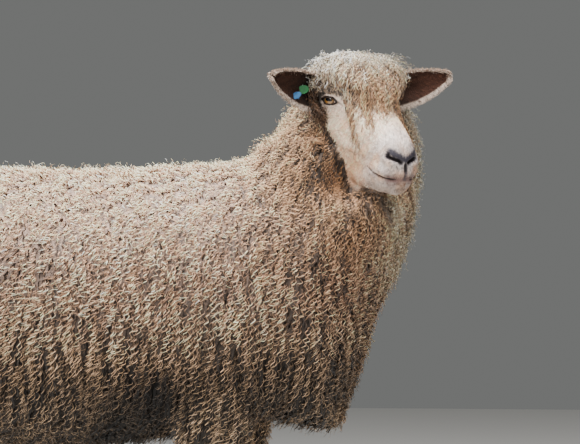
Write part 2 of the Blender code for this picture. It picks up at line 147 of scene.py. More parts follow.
LOWER_FOLD = ((-0.024, 0.065, -0.026), (-0.004, 0.062, -0.022), (0.014, 0.059, -0.010))
SOCKET = ((0.030, 0.055, -0.006), (0.055, 0.050, -0.014))
CREST = ((-0.010, 0.064, -0.048), (0.030, 0.057, -0.050), (0.075, 0.048, -0.050))
CHEEK = ((0.080, 0.046, -0.078), (0.115, 0.041, -0.068), (0.140, 0.040, -0.030))
LIP = ((0.150, 0.038, -0.040), (0.172, 0.032, -0.036), (0.188, 0.018, -0.034), (0.193, 0.006, -0.032))
CHIN = ((0.160, 0.020, -0.078), (0.176, 0.012, -0.072), (0.184, 0.000, -0.068))
# Each fold: its line, how wide it is, and how far it stands out or sinks in.
FOLDS = (
    (BROW, 0.012, 0.0030),
    (LID_FOLD, 0.0030, -0.0018),
    (LOWER_FOLD, 0.0032, -0.0014),
    (TEAR_LINE, 0.0028, -0.0022),
    (SOCKET, 0.013, -0.0030),
    (CREST, 0.011, 0.0022),
    (CHEEK, 0.016, -0.0032),
    (NOSTRIL_WING, 0.0055, 0.0022),
    (NOSTRIL, 0.0032, -0.0075),
    (PHILTRUM, 0.0022, -0.0022),
    (LIP, 0.0080, 0.0022),
    (MOUTH, 0.0021, -0.0050),
    (CHIN, 0.0100, 0.0022),
)

EYE_CLEARING = 0.0125  # free of wool round the eye's opening
EYE_SIGHT = np.array((0.030, 0.026, 0.022))  # and out along here
LID_LENGTH = 0.0212  # half of the eye's opening, corner to corner
UPPER_LID, LOWER_LID = 0.0068, 0.0060  # how far the lids open from that line
LID_RIM = 0.0013
LID_OVER = 0.0010  # the lids' rims outside the eyeball
LID_DEPTH = 0.0113  # the least that they are out from the eyeball's middle
LID_REACH = 0.032  # how far from there the skin is lifted off the eyeball
SOCKET_DEPTH = 0.0085  # and where it lies behind the opening, from there
EYE_OUT = np.array((0.2, 0.97, 0.1))  # the way the opening faces
PUPIL_LONG, PUPIL_HIGH, PUPIL_UP = 0.0066, 0.0028, 0.0010  # half of its size, and its place
CLAW_TOP = 0.045  # above which the shanks have hair
CLAW_EDGE, TAG_EDGE = 0.0020, 0.0004  # how far their edges are rounded
SHARP_EDGE = math.radians(25)  # the least bend that is rounded
NODE_WELD = 1e-5
ABOVE_SHANK = (0, 0, 0.05)  # how far over the shanks the locks beneath turn short and lose some of their painted shade
EYE_SEGMENTS, EYE_RINGS = 96, 64
CORNEA = 0.05  # how far it bulges, for the eyeball's radius
LID_SEGMENTS, RIM_SIDES = 72, 10

EAR_ROOT = Vector((-0.062, 0.050, -0.020))
EAR_TIP = Vector((-0.029, 0.190, 0.037))
EAR_FACING = Vector((0.82, 0.10, 0.57))
EAR_WIDTH = 0.076
EAR_CUP = 0.020
LOWER_SPREAD, UPPER_SPREAD = 1.12, 0.62
EAR_THICK = 0.0042
EAR_ROWS, EAR_COLUMNS = 70, 44
EAR_WAVE = 0.0022  # how far its leaf is from flat, along it
EAR_TONE = {"left": 1.4, "right": 0.85}  # of the inner face, as each is turned to the light

# Where the coat changes, in the world: the knees, hocks and tail come from the frame.
BELLY_Z = 0.27
LEG_TOP = (0.30, 0.40)  # the heights between which the legs' wool turns into the body's
SHANK_FADE = (-0.035, 0.012)  # the same for the short hair, from the knee or hock
THROAT = (-0.056, 0, -0.190)  # the middle of the browner wool and painted shade under the jaw, from the head's place
HOLLOW_SHADOW = ((-0.350, 0, -0.535), (-0.395, 0, -0.575), (-0.450, 0, -0.615))  # the line of the painted shadow behind the foreleg, from the same place
HOLLOW_SHADOW_WIDTH = 0.062

# The fleece, and the shorter hair.
LOCKS, UNDER_LOCKS = 35200, 17000
LOCK_ROWS, UNDER_ROWS = 15, 6
LOCK_STEPS = 7  # places on the skin that a lock is led over
LOCK_LENGTH, LOCK_WIDTH = 0.043, 0.0019
LOCK_WAVE, LOCK_SWING = 0.0128, 0.0042  # a lock's wavelength and how far it waves
UNDER_WIDTH, STRAY_WIDTH = 0.0075, 0.0012
UNDER_SHADE_LOW, UNDER_SHADE_HIGH = 0.17, 0.66  # the painted shade of the locks beneath and of the skin, against the rest: darkest where least lit
STRAYS = 0.05  # of the locks, those that stand out of the coat
CLUMPS = 0.30  # staples for each lock
TOP_LOCKS = 0.45  # of the locks, those that lie over the rest
HANG = 0.020  # how far the loosest locks hang below the belly and chest
ROOT_STEPS = 0.8  # under 1, a tuft has more of its rows near its tip
DEPTH_STEP = 0.004  # the most that the coat's depth grows from one step of a tuft to the next
FACE_TUFTS, SHANK_TUFTS = 15000, 9000
FACE_TUFT, SHANK_TUFT, TUFT_WIDTH = 0.0050, 0.0085, 0.20  # their lengths, and width for length
EAR_TUFTS, EAR_LOCKS = 4800, 1200
EAR_TUFT, EAR_TUFT_WIDTH = (0.0035, 0.0065), (0.0008, 0.0016)
EAR_LOCK, EAR_LOCK_WIDTH = (0.016, 0.032), (0.0014, 0.0026)
EAR_TUFT_CRIMP, EAR_LOCK_CRIMP = (0.008, 0.0004), (0.0095, 0.0022)  # wavelength and height
SEED = 7
THREAD_SHADE, STRAND_SHADE = (0.25, 1.75), (0.55, 1.35)  # painted shade at a thread's sides and painted highlight on its ridge
THREAD_SWING = 0.9  # how far threads wave to and fro, in threads
THREAD_WIDTH, THREAD_WAVE = 0.0021, 0.0125
TUFT_PATCH = 0.003  # a tuft's patch on the coat's own map
CHART_EDGE, CHART_SPAN = 0.004, 0.992  # what of that map the patches lie on
PALEST = 0.95  # no painted colour is paler
PIECE_TRIANGLES = 190000

# The studio: each light's place, size and power, and the camera.
LIGHTS = (
    ("overhead", (0.1, -0.7, 3.4), 2.2, 240.0),
    ("front", (2.2, -2.6, 2.1), 1.6, 34.0),
    ("side", (-1.6, -4.0, 2.6), 1.8, 114.0),
)
LIT_PLACE = Vector((0, 0, 0.6))  # which the lights face
BACKDROP_STRENGTH = 0.32
FLOOR_SIZE = 12
CAMERA_AZIMUTH = math.radians(8)
CAMERA_DISTANCE = 6.0
CAMERA_SENSOR, CAMERA_LENS, CAMERA_REACH = 36, 204.8, 100
CAMERA_TARGET = Vector((-0.138, 0.050, -0.219))  # from between the eyes


def linear(*shade):
    """A colour given as on a screen, from 0 to 255, in linear light."""
    share = np.array(shade) / 255
    return np.where(share <= 0.04045, share / 12.92, ((share + 0.055) / 1.055) ** 2.4)


BACK = linear(255, 208, 176)
SIDE = linear(255, 202, 168)
LOW = linear(214, 178, 144)
BELLY_DIRT_AND_SHADE = linear(30, 22, 17)
NECK_SIDE = linear(255, 206, 164)
NECK = linear(170, 124, 84)
NECK_DARK = linear(112, 80, 54)
NECK_RIM_LIGHT = linear(250, 222, 192)
CROWN = linear(255, 231, 206)
FORELOCK = linear(182, 138, 104)
LEG_WOOL = linear(230, 196, 162)
FACE_HAIR = linear(255, 224, 198)
FACE_WARM = linear(255, 204, 164)
FACE_COOL = linear(234, 222, 216)
LID_SKIN = linear(206, 184, 178)
LID_EDGE = linear(44, 34, 30)
NOSE = linear(56, 52, 60)
NOSE_HOLLOW_SHADE = linear(30, 22, 22)
LIP_SKIN = linear(112, 82, 76)
CHIN_HAIR_SHADED = linear(160, 142, 128)
FRECKLE = linear(98, 90, 88)
SHANK_HAIR = linear(205, 190, 174)
EAR_INSIDE = linear(62, 38, 28)
EAR_DEEP = linear(22, 13, 9)
EAR_BACK = linear(196, 174, 158)
EAR_RIM_HAIR_AND_LIGHT = linear(214, 194, 178)
IRIS = linear(150, 106, 52)
IRIS_EDGE = linear(70, 42, 20)
PUPIL = linear(8, 7, 9)
EYE_WHITE = linear(96, 74, 62)
CLAW_HORN = linear(58, 50, 44)
CLAW_PALE = linear(112, 98, 84)
GREEN = linear(14, 116, 54)
BLUE = linear(14, 92, 142)
FLOOR = linear(206, 204, 200)
BACKDROP = linear(190, 192, 190)

# ---------------------------------------------------------------- places taken from the frame


def middle(node):
    low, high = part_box(node)
    return (low + high) / 2


def head_frame():
    turned = (
        Matrix.Rotation(HEAD_TURN, 4, "Z")
        @ Matrix.Rotation(HEAD_DROP, 4, "Y")
        @ Matrix.Rotation(HEAD_TILT, 4, "X")
    )
    between_eyes = (middle("eye_left") + middle("eye_right")) / 2
    return Matrix.Translation(between_eyes - turned @ Vector((EYE_PLACE.x, 0, EYE_PLACE.z))) @ turned


SHANKS = [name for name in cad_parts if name.startswith("shank_")]
FLESH = [
    name
    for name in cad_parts
    if name in ("trunk", "neck", "head", "tail") or name.startswith(("leg_", "shank_"))
]
HEAD = head_frame()
HEAD_AXES = np.array(HEAD.to_3x3())
HEAD_PLACE = np.array(HEAD.translation)
KNEE_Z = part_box("shank_fore_left")[1].z
HOCK_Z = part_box("shank_hind_left")[1].z
BETWEEN_LEGS_X = (middle("shank_fore_left").x + middle("shank_hind_left").x) / 2
TAIL_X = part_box("tail")[1].x
BACK_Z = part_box("trunk")[1].z
CHEST_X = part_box("trunk")[1].x


def to_head(points):
    return (points - HEAD_PLACE) @ HEAD_AXES


def from_head(points):
    return np.asarray(points, float) @ HEAD_AXES.T + HEAD_PLACE


def one_side(points):
    """Places in the head's frame, with those on its right side mirrored to its left."""
    return np.column_stack([points[:, 0], np.abs(points[:, 1]), points[:, 2]])


# ---------------------------------------------------------------- numbers


def unit(vectors):
    return vectors / np.maximum(np.linalg.norm(vectors, axis=-1, keepdims=True), 1e-9)


def dot(a, b):
    return (a * b).sum(axis=-1, keepdims=True)


def smooth(low, high, values):
    t = np.clip((values - low) / (high - low), 0, 1)
    return t * t * (3 - 2 * t)


def mix(a, b, share):
    return a + (b - a) * np.asarray(share)[..., None]


def greyed(colours, share):
    """The colours with less saturation, as between the locks where little light gets in."""
    grey = colours.mean(axis=-1, keepdims=True) * np.array([1.0, 0.97, 0.95])
    return colours * (1 - share) + grey * share


def ripple(points, scale, seed):
    """Smooth values, mostly from -1 to 1, that change over about so many metres."""
    random = np.random.default_rng(seed)
    total = np.zeros(len(points))
    for _ in range(8):
        wave = unit(random.normal(size=3)) * 2 * math.pi / scale * random.uniform(0.55, 1.5)
        total += np.sin(points @ wave + random.uniform(0, 2 * math.pi))
    return total / 2.8


def full_turn(count):
    return 2 * math.pi * np.arange(count) / count


def bend_between(before, start, end, after, t):
    """The place at t from start to end on a Catmull-Rom curve."""
    bend = (2 * before - 5 * start + 4 * end - after) * t**2
    swing = (3 * start - before - 3 * end + after) * t**3
    return 0.5 * (2 * start + (end - before) * t + bend + swing)


def between(rows, steps):
    """The rows with steps - 1 more worked out between each two, on a Catmull-Rom curve."""
    rows = np.array(rows, float)
    ends = np.vstack([2 * rows[0] - rows[1], rows, 2 * rows[-1] - rows[-2]])
    filled = []
    for i in range(len(rows) - 1):
        filled += [bend_between(*ends[i : i + 4], t) for t in np.arange(steps) / steps]
    return np.array(filled + [rows[-1]])


def from_line(points, line):
    """How far each point is from a line of several points."""
    line = np.array(line, float)
    nearest = np.full(len(points), np.inf)
    for start, end in zip(line, line[1:]):
        run = end - start
        t = np.clip((points - start) @ run / (run @ run), 0, 1)
        nearest = np.minimum(nearest, np.linalg.norm(points - start - t[:, None] * run, axis=1))
    return nearest


def near_line(points, line, width):
    return np.exp(-((from_line(points, line) / width) ** 2))


def layered(colour, *coats):
    """The colour with others laid over it in turn, each given with how much of it there is."""
    for coat, share in coats:
        colour = mix(colour, coat, share)
    return colour


def swung(lay, outs, turn):
    """The directions turned about the surface's facing."""
    return unit(lay) * np.cos(turn)[:, None] + unit(np.cross(outs, lay)) * np.sin(turn)[:, None]


def along_surface(ways, outs):
    return ways - outs * dot(ways, outs)


# ---------------------------------------------------------------- meshes


def show(name, data):
    made = bpy.data.objects.new(name, data)
    bpy.context.scene.collection.objects.link(made)
    return made


def baked(made):
    """The object's mesh with its modifiers applied. The object is removed."""
    bpy.context.view_layer.update()
    graph = bpy.context.evaluated_depsgraph_get()
    mesh = bpy.data.meshes.new_from_object(made.evaluated_get(graph))
    bpy.data.objects.remove(made)
    return mesh


def read(items, name):
    """The vectors that a mesh's items hold under the name."""
    found = np.empty(len(items) * 3, np.float32)
    items.foreach_get(name, found)
    return found.reshape(-1, 3).astype(float)


def write(items, name, values, kind=np.float32):
    items.foreach_set(name, np.asarray(values, kind).ravel())


def places(mesh):
    return read(mesh.vertices, "co")


def facings(mesh):
    return read(mesh.vertex_normals, "vector")


def move(mesh, points):
    write(mesh.vertices, "co", points)
    mesh.update()


def paint(mesh, colours):
    layer = mesh.color_attributes.new("coat", "FLOAT_COLOR", "POINT")
    write(layer.data, "color", np.column_stack([colours, np.ones(len(colours))]))


def mark(mesh, name, values):
    write(mesh.attributes.new(name, "FLOAT", "POINT").data, "value", values)


def keep_rest(mesh, points):
    """Remembers where each point was before it was sculpted, for its colour."""
    write(mesh.attributes.new("rest", "FLOAT_VECTOR", "POINT").data, "vector", points)


def remeshed(mesh, voxel, smoothing):
    made = show("remeshing", mesh)
    fuse = made.modifiers.new("fuse", "REMESH")
    fuse.mode = "VOXEL"
    fuse.voxel_size = voxel
    blend = made.modifiers.new("blend", "SMOOTH")
    blend.factor = 0.5
    blend.iterations = smoothing
    return baked(made)


def united(mesh, other):
    """Two closed meshes as one."""
    made, tool = show("uniting", mesh), show("tool", other)
    union = made.modifiers.new("union", "BOOLEAN")
    union.operation = "UNION"
    union.solver = "MANIFOLD"
    union.object = tool
    result = baked(made)
    bpy.data.objects.remove(tool)
    return result


def grown(mesh, gap):
    """The mesh as a bmesh, welded, and larger by the gap on every side."""
    form = bmesh.new()
    form.from_mesh(mesh)
    bmesh.ops.remove_doubles(form, verts=form.verts, dist=WELD_GAP)
    form.normal_update()
    for vertex in form.verts:
        vertex.co += vertex.normal * gap
    return form


def as_mesh(form):
    """The bmesh as a mesh. It is freed."""
    mesh = bpy.data.meshes.new("form")
    form.to_mesh(mesh)
    form.free()
    return mesh


def joined(forms):
    """One mesh that holds every bmesh given, still overlapping. They are freed."""
    whole = bmesh.new()
    for form in forms:
        mesh = as_mesh(form)
        whole.from_mesh(mesh)
        bpy.data.meshes.remove(mesh)
    return as_mesh(whole)


def over_rings(rings, closed=False):
    """A mesh over rings of points, facing out: a run with flat ends, or one closed on itself."""
    count, sides = rings.shape[:2]
    index = np.arange(count * sides).reshape(count, sides)
    after = np.roll(index, -1, axis=0)
    quads = np.stack([index, np.roll(index, -1, axis=1), np.roll(after, -1, axis=1), after], axis=-1)
    faces = (quads if closed else quads[:-1]).reshape(-1, 4).tolist()
    if not closed:
        faces += [index[0][::-1].tolist(), index[-1].tolist()]
    mesh = bpy.data.meshes.new("rings")
    mesh.from_pydata(rings.reshape(-1, 3), [], faces)
    form = bmesh.new()
    form.from_mesh(mesh)
    bmesh.ops.recalc_face_normals(form, faces=form.faces)
    form.to_mesh(mesh)
    form.free()
    mesh.update()
    return mesh


class Ground:
    """The nearest places and facings on a mesh."""

    def __init__(self, mesh, depths):
        mesh.calc_loop_triangles()
        corners = np.empty(len(mesh.loop_triangles) * 3, np.int32)
        mesh.loop_triangles.foreach_get("vertices", corners)
        self.corners = corners.reshape(-1, 3)
        self.points = places(mesh)
        self.normals = facings(mesh)
        self.depths = depths
        self.tree = BVHTree.FromPolygons(self.points.tolist(), self.corners.tolist())

    def nearest(self, points):
        """The nearest place to each point, with its facing and the coat's depth, smoothed."""
        found = [self.tree.find_nearest(p) for p in points.tolist()]
        place = np.array([f[0] for f in found])
        facet = self.corners[[f[2] for f in found]]
        a, b, c = (self.points[facet[:, i]] for i in range(3))
        area = np.cross(b - a, c - a)
        size = np.maximum((area * area).sum(axis=1), 1e-18)
        share_b = (np.cross(place - a, c - a) * area).sum(axis=1) / size
        share_c = (np.cross(b - a, place - a) * area).sum(axis=1) / size
        shares = np.stack([1 - share_b - share_c, share_b, share_c], axis=1).clip(0, 1)
        depth = (self.depths[facet] * shares).sum(axis=1)
        return place, unit((self.normals[facet] * shares[:, :, None]).sum(axis=1)), depth

    def scatter(self, count, weight, random):
        """So many places on the mesh, as dense as the weight at each of its points."""
        a, b, c = (self.points[self.corners[:, i]] for i in range(3))
        areas = np.linalg.norm(np.cross(b - a, c - a), axis=1)
        areas *= weight[self.corners].mean(axis=1)
        facet = random.choice(len(areas), size=count, p=areas / areas.sum())
        u, v = random.random((2, count))
        over = u + v > 1
        u, v = np.where(over, 1 - u, u), np.where(over, 1 - v, v)
        return Scatter(self, self.corners[facet], np.stack([1 - u - v, u, v], axis=1))


class Scatter:
    """Places strewn over a mesh, and whatever is known at the mesh's own points."""

    def __init__(self, ground, corners, shares):
        self.corners, self.shares = corners, shares
        self.roots = self.of(ground.points)
        self.outs = unit(self.of(ground.normals))

    def of(self, values):
        """The values given for the mesh's points, at the strewn places."""
        shares = self.shares if values.ndim == 1 else self.shares[:, :, None]
        return (values[self.corners] * shares).sum(axis=1)


# ---------------------------------------------------------------- where the coat changes


def off_face(head):
    """How far out places in the head's frame are from the face: 1 on its surface, more beyond it."""
    rows = np.array(FACE)
    lean, level = (np.interp(head[:, 0], rows[:, 0], rows[:, i]) for i in (5, 1))
    x = head[:, 0] + lean * (head[:, 2] - level)
    level, width, top, bottom, pinch = (np.interp(x, rows[:, 0], rows[:, i]) for i in (1, 2, 3, 4, 6))
    rise = head[:, 2] - level
    reach = np.where(rise > 0, top, bottom)
    width = width * (1 - pinch * np.clip(rise / top, 0, 1))
    total = np.abs(head[:, 1] / width) ** FACE_SQUARENESS + np.abs(rise / reach) ** FACE_SQUARENESS
    return total ** (1 / FACE_SQUARENESS)


def short_head(points, margin=0.0):
    """1 where the head has only short hair, and 0 under wool."""
    head = to_head(points)
    x, y, z = head.T
    edge = np.interp(z, WOOL_EDGE_Z, WOOL_EDGE_X) + margin
    edge = edge + FAR_FORELOCK * smooth(0.004, 0.030, y) * smooth(-0.045, -0.015, z)
    edge = edge + RAGGED * ripple(points, 0.012, 9)
    near = (np.abs(y) < 0.085) & (z > -0.160) & (x < 0.25)
    slack = 0.22 * smooth(0.135, 0.160, x) * smooth(-0.092, -0.076, z)
    beard = smooth(0.15, 0.55, near_line(one_side(head), UNDER_CHIN, 0.024))
    on_face = 1 - smooth(1.04, 1.10, off_face(head) - slack)
    return smooth(-0.004, 0.006, x - edge) * near * on_face * (1 - beard)


def shank_top(points):
    """The height of the knee or hock, whichever is on the nearer leg."""
    return np.where(points[:, 0] > BETWEEN_LEGS_X, KNEE_Z, HOCK_Z)


def short_leg(points):
    """1 on the short-haired shanks and feet, and 0 above them."""
    top = shank_top(points)
    return 1 - smooth(top + SHANK_FADE[0], top + SHANK_FADE[1], points[:, 2])


def near_head(points):
    """1 on the wool of the poll and forehead, and 0 down the neck."""
    head = to_head(points)
    return smooth(-0.13, -0.07, head[:, 0]) * smooth(-0.075, -0.015, head[:, 2])


def on_forelock(points):
    """1 on the long wool that hangs over the forehead."""
    return near_head(points) * smooth(-0.055, -0.010, to_head(points)[:, 0])


def on_neck(points):
    """1 on the neck and throat, and 0 back on the body."""
    rise = (points[:, 0] - CHEST_X) * 0.75 + (points[:, 2] - 0.52) * 0.9
    return smooth(0.00, 0.14, rise)


def on_throat(points):
    """1 on the browner wool of the right side of the throat, under the jaw: its own stain and painted
    shade.
    """
    x, y, z = (points - (HEAD_PLACE + THROAT)).T
    near = smooth(0.215, 0.075, np.hypot(x, 0.8 * z)) * smooth(0.115, 0.045, x)
    return (0.65 + 0.35 * on_neck(points)) * near * smooth(0.07, -0.03, y)


def in_hollow_shadow(points):
    """1 in the hollow between the belly and the back of the foreleg, where a shadow is painted."""
    flat = points * (1, 0, 1) - HEAD_PLACE * (1, 0, 1)
    return near_line(flat, HOLLOW_SHADOW, HOLLOW_SHADOW_WIDTH)


def on_leg(points):
    return 1 - smooth(*LEG_TOP, points[:, 2])


def lit(points, outs):
    """1 where the fleece is open to the sky and its depths look pale, and 0 low on the sides."""
    light = smooth(0.42, 0.74, points[:, 2]) * 0.7 + smooth(0.2, 0.9, outs[:, 2]) * 0.5
    shaded = (1 - 0.55 * on_throat(points)) * (1 - 0.35 * near_head(points))
    return np.clip(light, 0, 1) * (shaded * (1 - 0.45 * on_forelock(points)))


def wool_depth(points):
    """How deep the fleece is: thinner on the legs and tail."""
    depth = LEG_DEPTH + (WOOL_DEPTH - LEG_DEPTH) * smooth(0.28, 0.42, points[:, 2])
    return np.where(points[:, 0] < TAIL_X - 0.05, np.minimum(depth, TAIL_DEPTH), depth)


# ---------------------------------------------------------------- colours by place


def under_shade(points, outs):
    """How much darker the depths of the wool are painted than its tips: painted shade between the
    locks.
    """
    return UNDER_SHADE_LOW + (UNDER_SHADE_HIGH - UNDER_SHADE_LOW) * lit(points, outs)


def coat_colour(points, normals):
    """The coat's colour by place: pale on the back, darker and browner below, partly as painted light
    and shade.
    """
    height = smooth(BELLY_Z, BACK_Z, points[:, 2] + 0.02 * ripple(points, 0.25, 3))
    up = normals[:, 2]
    neck = on_neck(points)
    neck_colour = mix(NECK, NECK_DARK, 0.5 + 0.25 * ripple(points, 0.05, 5))
    # browner and darker under the jaw: the neck's own stain with painted shade from the head, less
    # where it faces up or takes the painted rim light
    browned_and_shaded = np.clip(0.25 * neck + 0.78 * on_throat(points), 0, 1)
    # painted rim light, where the front of the neck faces the light, high up
    rim = smooth(0.15, 0.75, normals[:, 0]) * smooth(-0.55, -0.10, normals[:, 1])
    rim = rim * smooth(0.40, 0.60, points[:, 2])
    head = to_head(points)
    fore = smooth(-0.062, 0.045, head[:, 0] + 0.03 * ripple(points, 0.02, 6))
    return layered(
        # darker low on the sides: partly painted shade
        mix(LOW, SIDE, smooth(0.10, 0.62, height)),
        # paler on the back: real bleaching, and painted light where the coat faces up
        (BACK, smooth(0.45, 1.0, height) * 0.6 + 0.4 * smooth(0.2, 0.9, up)),
        # dark low on the body and where the coat faces down: painted shade, with some real dirt
        (BELLY_DIRT_AND_SHADE, smooth(0.30, 0.02, height) * 0.7),
        (BELLY_DIRT_AND_SHADE, smooth(0.0, -0.85, up) * 0.55),
        (NECK_SIDE, 0.7 * neck),
        (neck_colour, browned_and_shaded * (1 - 0.4 * smooth(0.1, 0.8, up)) * (1 - 0.8 * rim)),
        (NECK_RIM_LIGHT, rim * neck * 0.8),
        (mix(CROWN, FORELOCK, fore), near_head(points)),
        # painted shade on the wool in front of the ear's root
        (NECK_DARK, near_line(one_side(head), TEMPLE_SHADE, 0.026) * 0.22),
        (LEG_WOOL, on_leg(points) * 0.5),
        # painted shadow in the hollow behind the foreleg
        (BELLY_DIRT_AND_SHADE, in_hollow_shadow(points) * 0.8),
        (SHANK_HAIR, short_leg(points)),
    )


def leather(side):
    """1 on the bare skin of the nose."""
    pad = near_line(side, LEATHER, 0.0088)
    edge = near_line(side, NOSTRIL, 0.0064)
    stem = near_line(side, PHILTRUM, 0.0048)
    return np.maximum.reduce([pad, edge, stem])


def face_colour(points):
    """The face's colour, from places in the head's frame: hair, leather, lids and lips, and painted
    shade.
    """
    side = one_side(points)
    x, z = points[:, 0], points[:, 2]
    flush = smooth(-0.2, 1.0, ripple(points, 0.035, 23)) * smooth(0.03, -0.03, z)
    hair = layered(
        np.tile(FACE_HAIR, (len(points), 1)),
        (FACE_WARM, smooth(-0.02, -0.11, z) * 0.75),
        (FACE_COOL, smooth(0.09, 0.15, x) * 0.8),
        (FACE_WARM, flush * 0.6),
    )
    mottle = 0.09 * ripple(points, 0.005, 25) + 0.07 * ripple(points, 0.016, 26)
    # painted shade, darker towards the underside of the jaw
    hair = hair * (1 - 0.3 * smooth(-0.085, -0.125, z))[:, None]
    hair = np.minimum(hair * (1 + mottle)[:, None], 1)
    freckles = smooth(0.75, 1.5, ripple(points, 0.010, 21) + 0.6 * ripple(points, 0.045, 22))
    freckled = smooth(0.02, 0.09, x) * 0.6 + near_line(side, LOWER_FOLD, 0.02) * 0.5
    front = smooth(0.165, 0.188, x)
    lips = near_line(side, MOUTH, 0.0120) * front
    lips = np.maximum(near_line(side, MOUTH, 0.0075) * 0.45, lips)
    stem = near_line(side, PHILTRUM[1:], 0.0085) * 0.7
    # a soft grey halo round the nostrils and nose pad: painted shade
    around = np.maximum(near_line(side, NOSTRIL, 0.011) * 0.35, near_line(side, LEATHER, 0.018) * 0.45)
    # near black in the nostrils and down the lip's groove: painted shade
    dark = np.maximum(near_line(side, NOSTRIL, 0.0030), near_line(side, PHILTRUM[:2], 0.0036) * 0.9)
    spots = [smooth(0.0019, 0.0009, np.linalg.norm(side - spot, axis=1)) for spot in WHISKERS]
    return layered(
        hair,
        (LID_SKIN, near_line(side, EYE_LINE, 0.017) * 0.6),
        # darker hair on the chin: painted shade under the lower lip
        (CHIN_HAIR_SHADED, near_line(side, CHIN, 0.022) * 0.8),
        (FRECKLE, freckles * freckled * 0.7),
        (LIP_SKIN, np.maximum(lips, stem)),
        (NOSE, around),
        (NOSE, smooth(0.10, 0.95, leather(side) + 0.12 * ripple(points, 0.004, 24))),
        (NOSE_HOLLOW_SHADE, smooth(0.10, 0.80, dark)),
        *[(FRECKLE, spot * 0.9) for spot in spots],
        # painted shade in the mouth's line
        (NOSE_HOLLOW_SHADE, smooth(0.3, 0.8, near_line(side, MOUTH, 0.0024)) * 0.85),
        (LID_EDGE, smooth(0.35, 0.9, near_line(side, TEAR_LINE, 0.0028)) * 0.8),
    )


# ---------------------------------------------------------------- the skin


def face_rings():
    """Even rings down the face out to its rounded end, inside the short hair."""
    fine = between(FACE, 60)
    end = fine[-1]
    dome = [
        end * (1, 1, s, s, s, 1, 1) + (FACE_DOME * (1 - s * s), 0, 0, 0, 0, 0, 0)
        for s in (0.8, 0.6, 0.4, 0.2, 0.05)
    ]
    rows = np.vstack([fine, dome])
    run = np.linalg.norm(np.diff(rows[:, (0, 2, 3)], axis=0), axis=1)
    along = np.concatenate([[0], np.cumsum(run)])
    stops = np.arange(0, along[-1], FACE_STEP)
    x, middle_z, width, top, bottom, lean, pinch = (
        np.interp(stops, along, rows[:, i])[:, None] for i in range(7)
    )
    angle = full_turn(FACE_SIDES)
    waves = (np.cos(angle), np.sin(angle))
    across, up = (np.sign(w) * np.abs(w) ** (2 / FACE_SQUARENESS) for w in waves)
    inset = 1 - HAIR_DEPTH / 2 / np.maximum(width, 0.02)
    rise = np.where(up > 0, top, bottom) * up * inset
    across = across * width * inset * (1 - pinch * np.maximum(up, 0))
    return np.stack([x - lean * rise, across, middle_z + rise], axis=-1)


def lid_axes():
    """The eye opening's middle, and its directions forwards, up and out, in the head's frame."""
    back, front = np.array(EYE_LINE)
    forwards = unit(front - back)
    out = unit(EYE_OUT - forwards * (EYE_OUT @ forwards))
    return (back + front) / 2, forwards, np.cross(forwards, out), out


def lid_edge(along):
    """How far the upper and lower lids open, at so far along the opening."""
    arch = np.clip(1 - (along / LID_LENGTH) ** 2, 0, 1)
    lean = 1 + 0.25 * along / LID_LENGTH
    return UPPER_LID * arch**0.75 * lean, LOWER_LID * arch**0.85


def sculpted(points, normals):
    """The face's points with its folds, lids, nostrils and mouth worked in."""
    side = one_side(points)
    flip = np.where(points[:, 1:2] < 0, -1.0, 1.0) * (0, 1, 0) + (1, 0, 1)
    out = normals * flip
    for line, width, height in FOLDS:
        side = side + out * (near_line(side, line, width) * height)[:, None]
    opening, forwards, up, outwards = lid_axes()
    ball = np.array(EYE_PLACE)
    reach = side - ball
    far = np.linalg.norm(reach, axis=1)
    near = (far < LID_REACH) & (side[:, 1] > 0.03)
    lifted = ball + unit(reach) * np.maximum(far, EYE_RADIUS + LID_OVER * 1.6)[:, None]
    side = np.where(near[:, None], lifted, side)
    offset = side - opening
    u, v, w = offset @ forwards, offset @ up, (side - ball) @ outwards
    upper, lower = lid_edge(u)
    past = np.where(v > 0, v - upper, -v - lower)
    past = np.maximum(past, (np.abs(u) - LID_LENGTH) * 0.8)
    inside = near * (1 - smooth(-0.0012, 0.0010, past))
    side = side - outwards * (inside * np.maximum(w - SOCKET_DEPTH, 0))[:, None]
    return side * flip


def face_form():
    mesh = over_rings(face_rings())
    plain = places(mesh)
    move(mesh, from_head(sculpted(plain, facings(mesh))))
    keep_rest(mesh, plain)
    return mesh


def body_form():
    """The coat's outline as one smooth surface, and the skin under it."""
    forms = [grown(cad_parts[name].data, FLESH_GAP) for name in FLESH]
    coat = remeshed(joined(forms), BODY_VOXEL, BODY_SMOOTHING)
    points, normals = places(coat), facings(coat)
    depth = wool_depth(points)
    depth += (FACE_DEPTH - depth) * smooth(1.35, 1.20, off_face(to_head(points)))
    depth += (HAIR_DEPTH - depth) * short_leg(points)
    under = coat.copy()
    move(under, points - normals * depth[:, None])
    under = remeshed(under, BODY_VOXEL, SKIN_SMOOTHING)
    keep_rest(under, to_head(places(under)))
    return coat, under


def shank_form():
    """The lower legs, finer and closer to their nodes than the rest of the skin."""
    forms = [grown(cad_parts[name].data, -SHANK_INSET) for name in SHANKS]
    for name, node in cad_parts.items():
        if name.startswith("dewclaw_"):
            flesh = grown(node.data, DEWCLAW_GAP)
            bmesh.ops.translate(flesh, verts=flesh.verts, vec=DEWCLAW_FLESH)
            forms.append(flesh)
    shanks = remeshed(joined(forms), SHANK_VOXEL, SKIN_SMOOTHING)
    points, normals = places(shanks), facings(shanks)
    top = shank_top(points)
    sunk = SHANK_SUNK * smooth(top - 0.045, top, points[:, 2])
    move(shanks, points - normals * sunk[:, None])
    keep_rest(shanks, to_head(places(shanks)))
    return shanks


def coat_over(skin, coat):
    """How far the coat's outline stands over each point of the skin."""
    facets = [list(p.vertices) for p in coat.polygons]
    outline = BVHTree.FromPolygons(places(coat).tolist(), facets)
    return np.array([outline.find_nearest(p)[3] for p in places(skin).tolist()])


# ---------------------------------------------------------------- materials


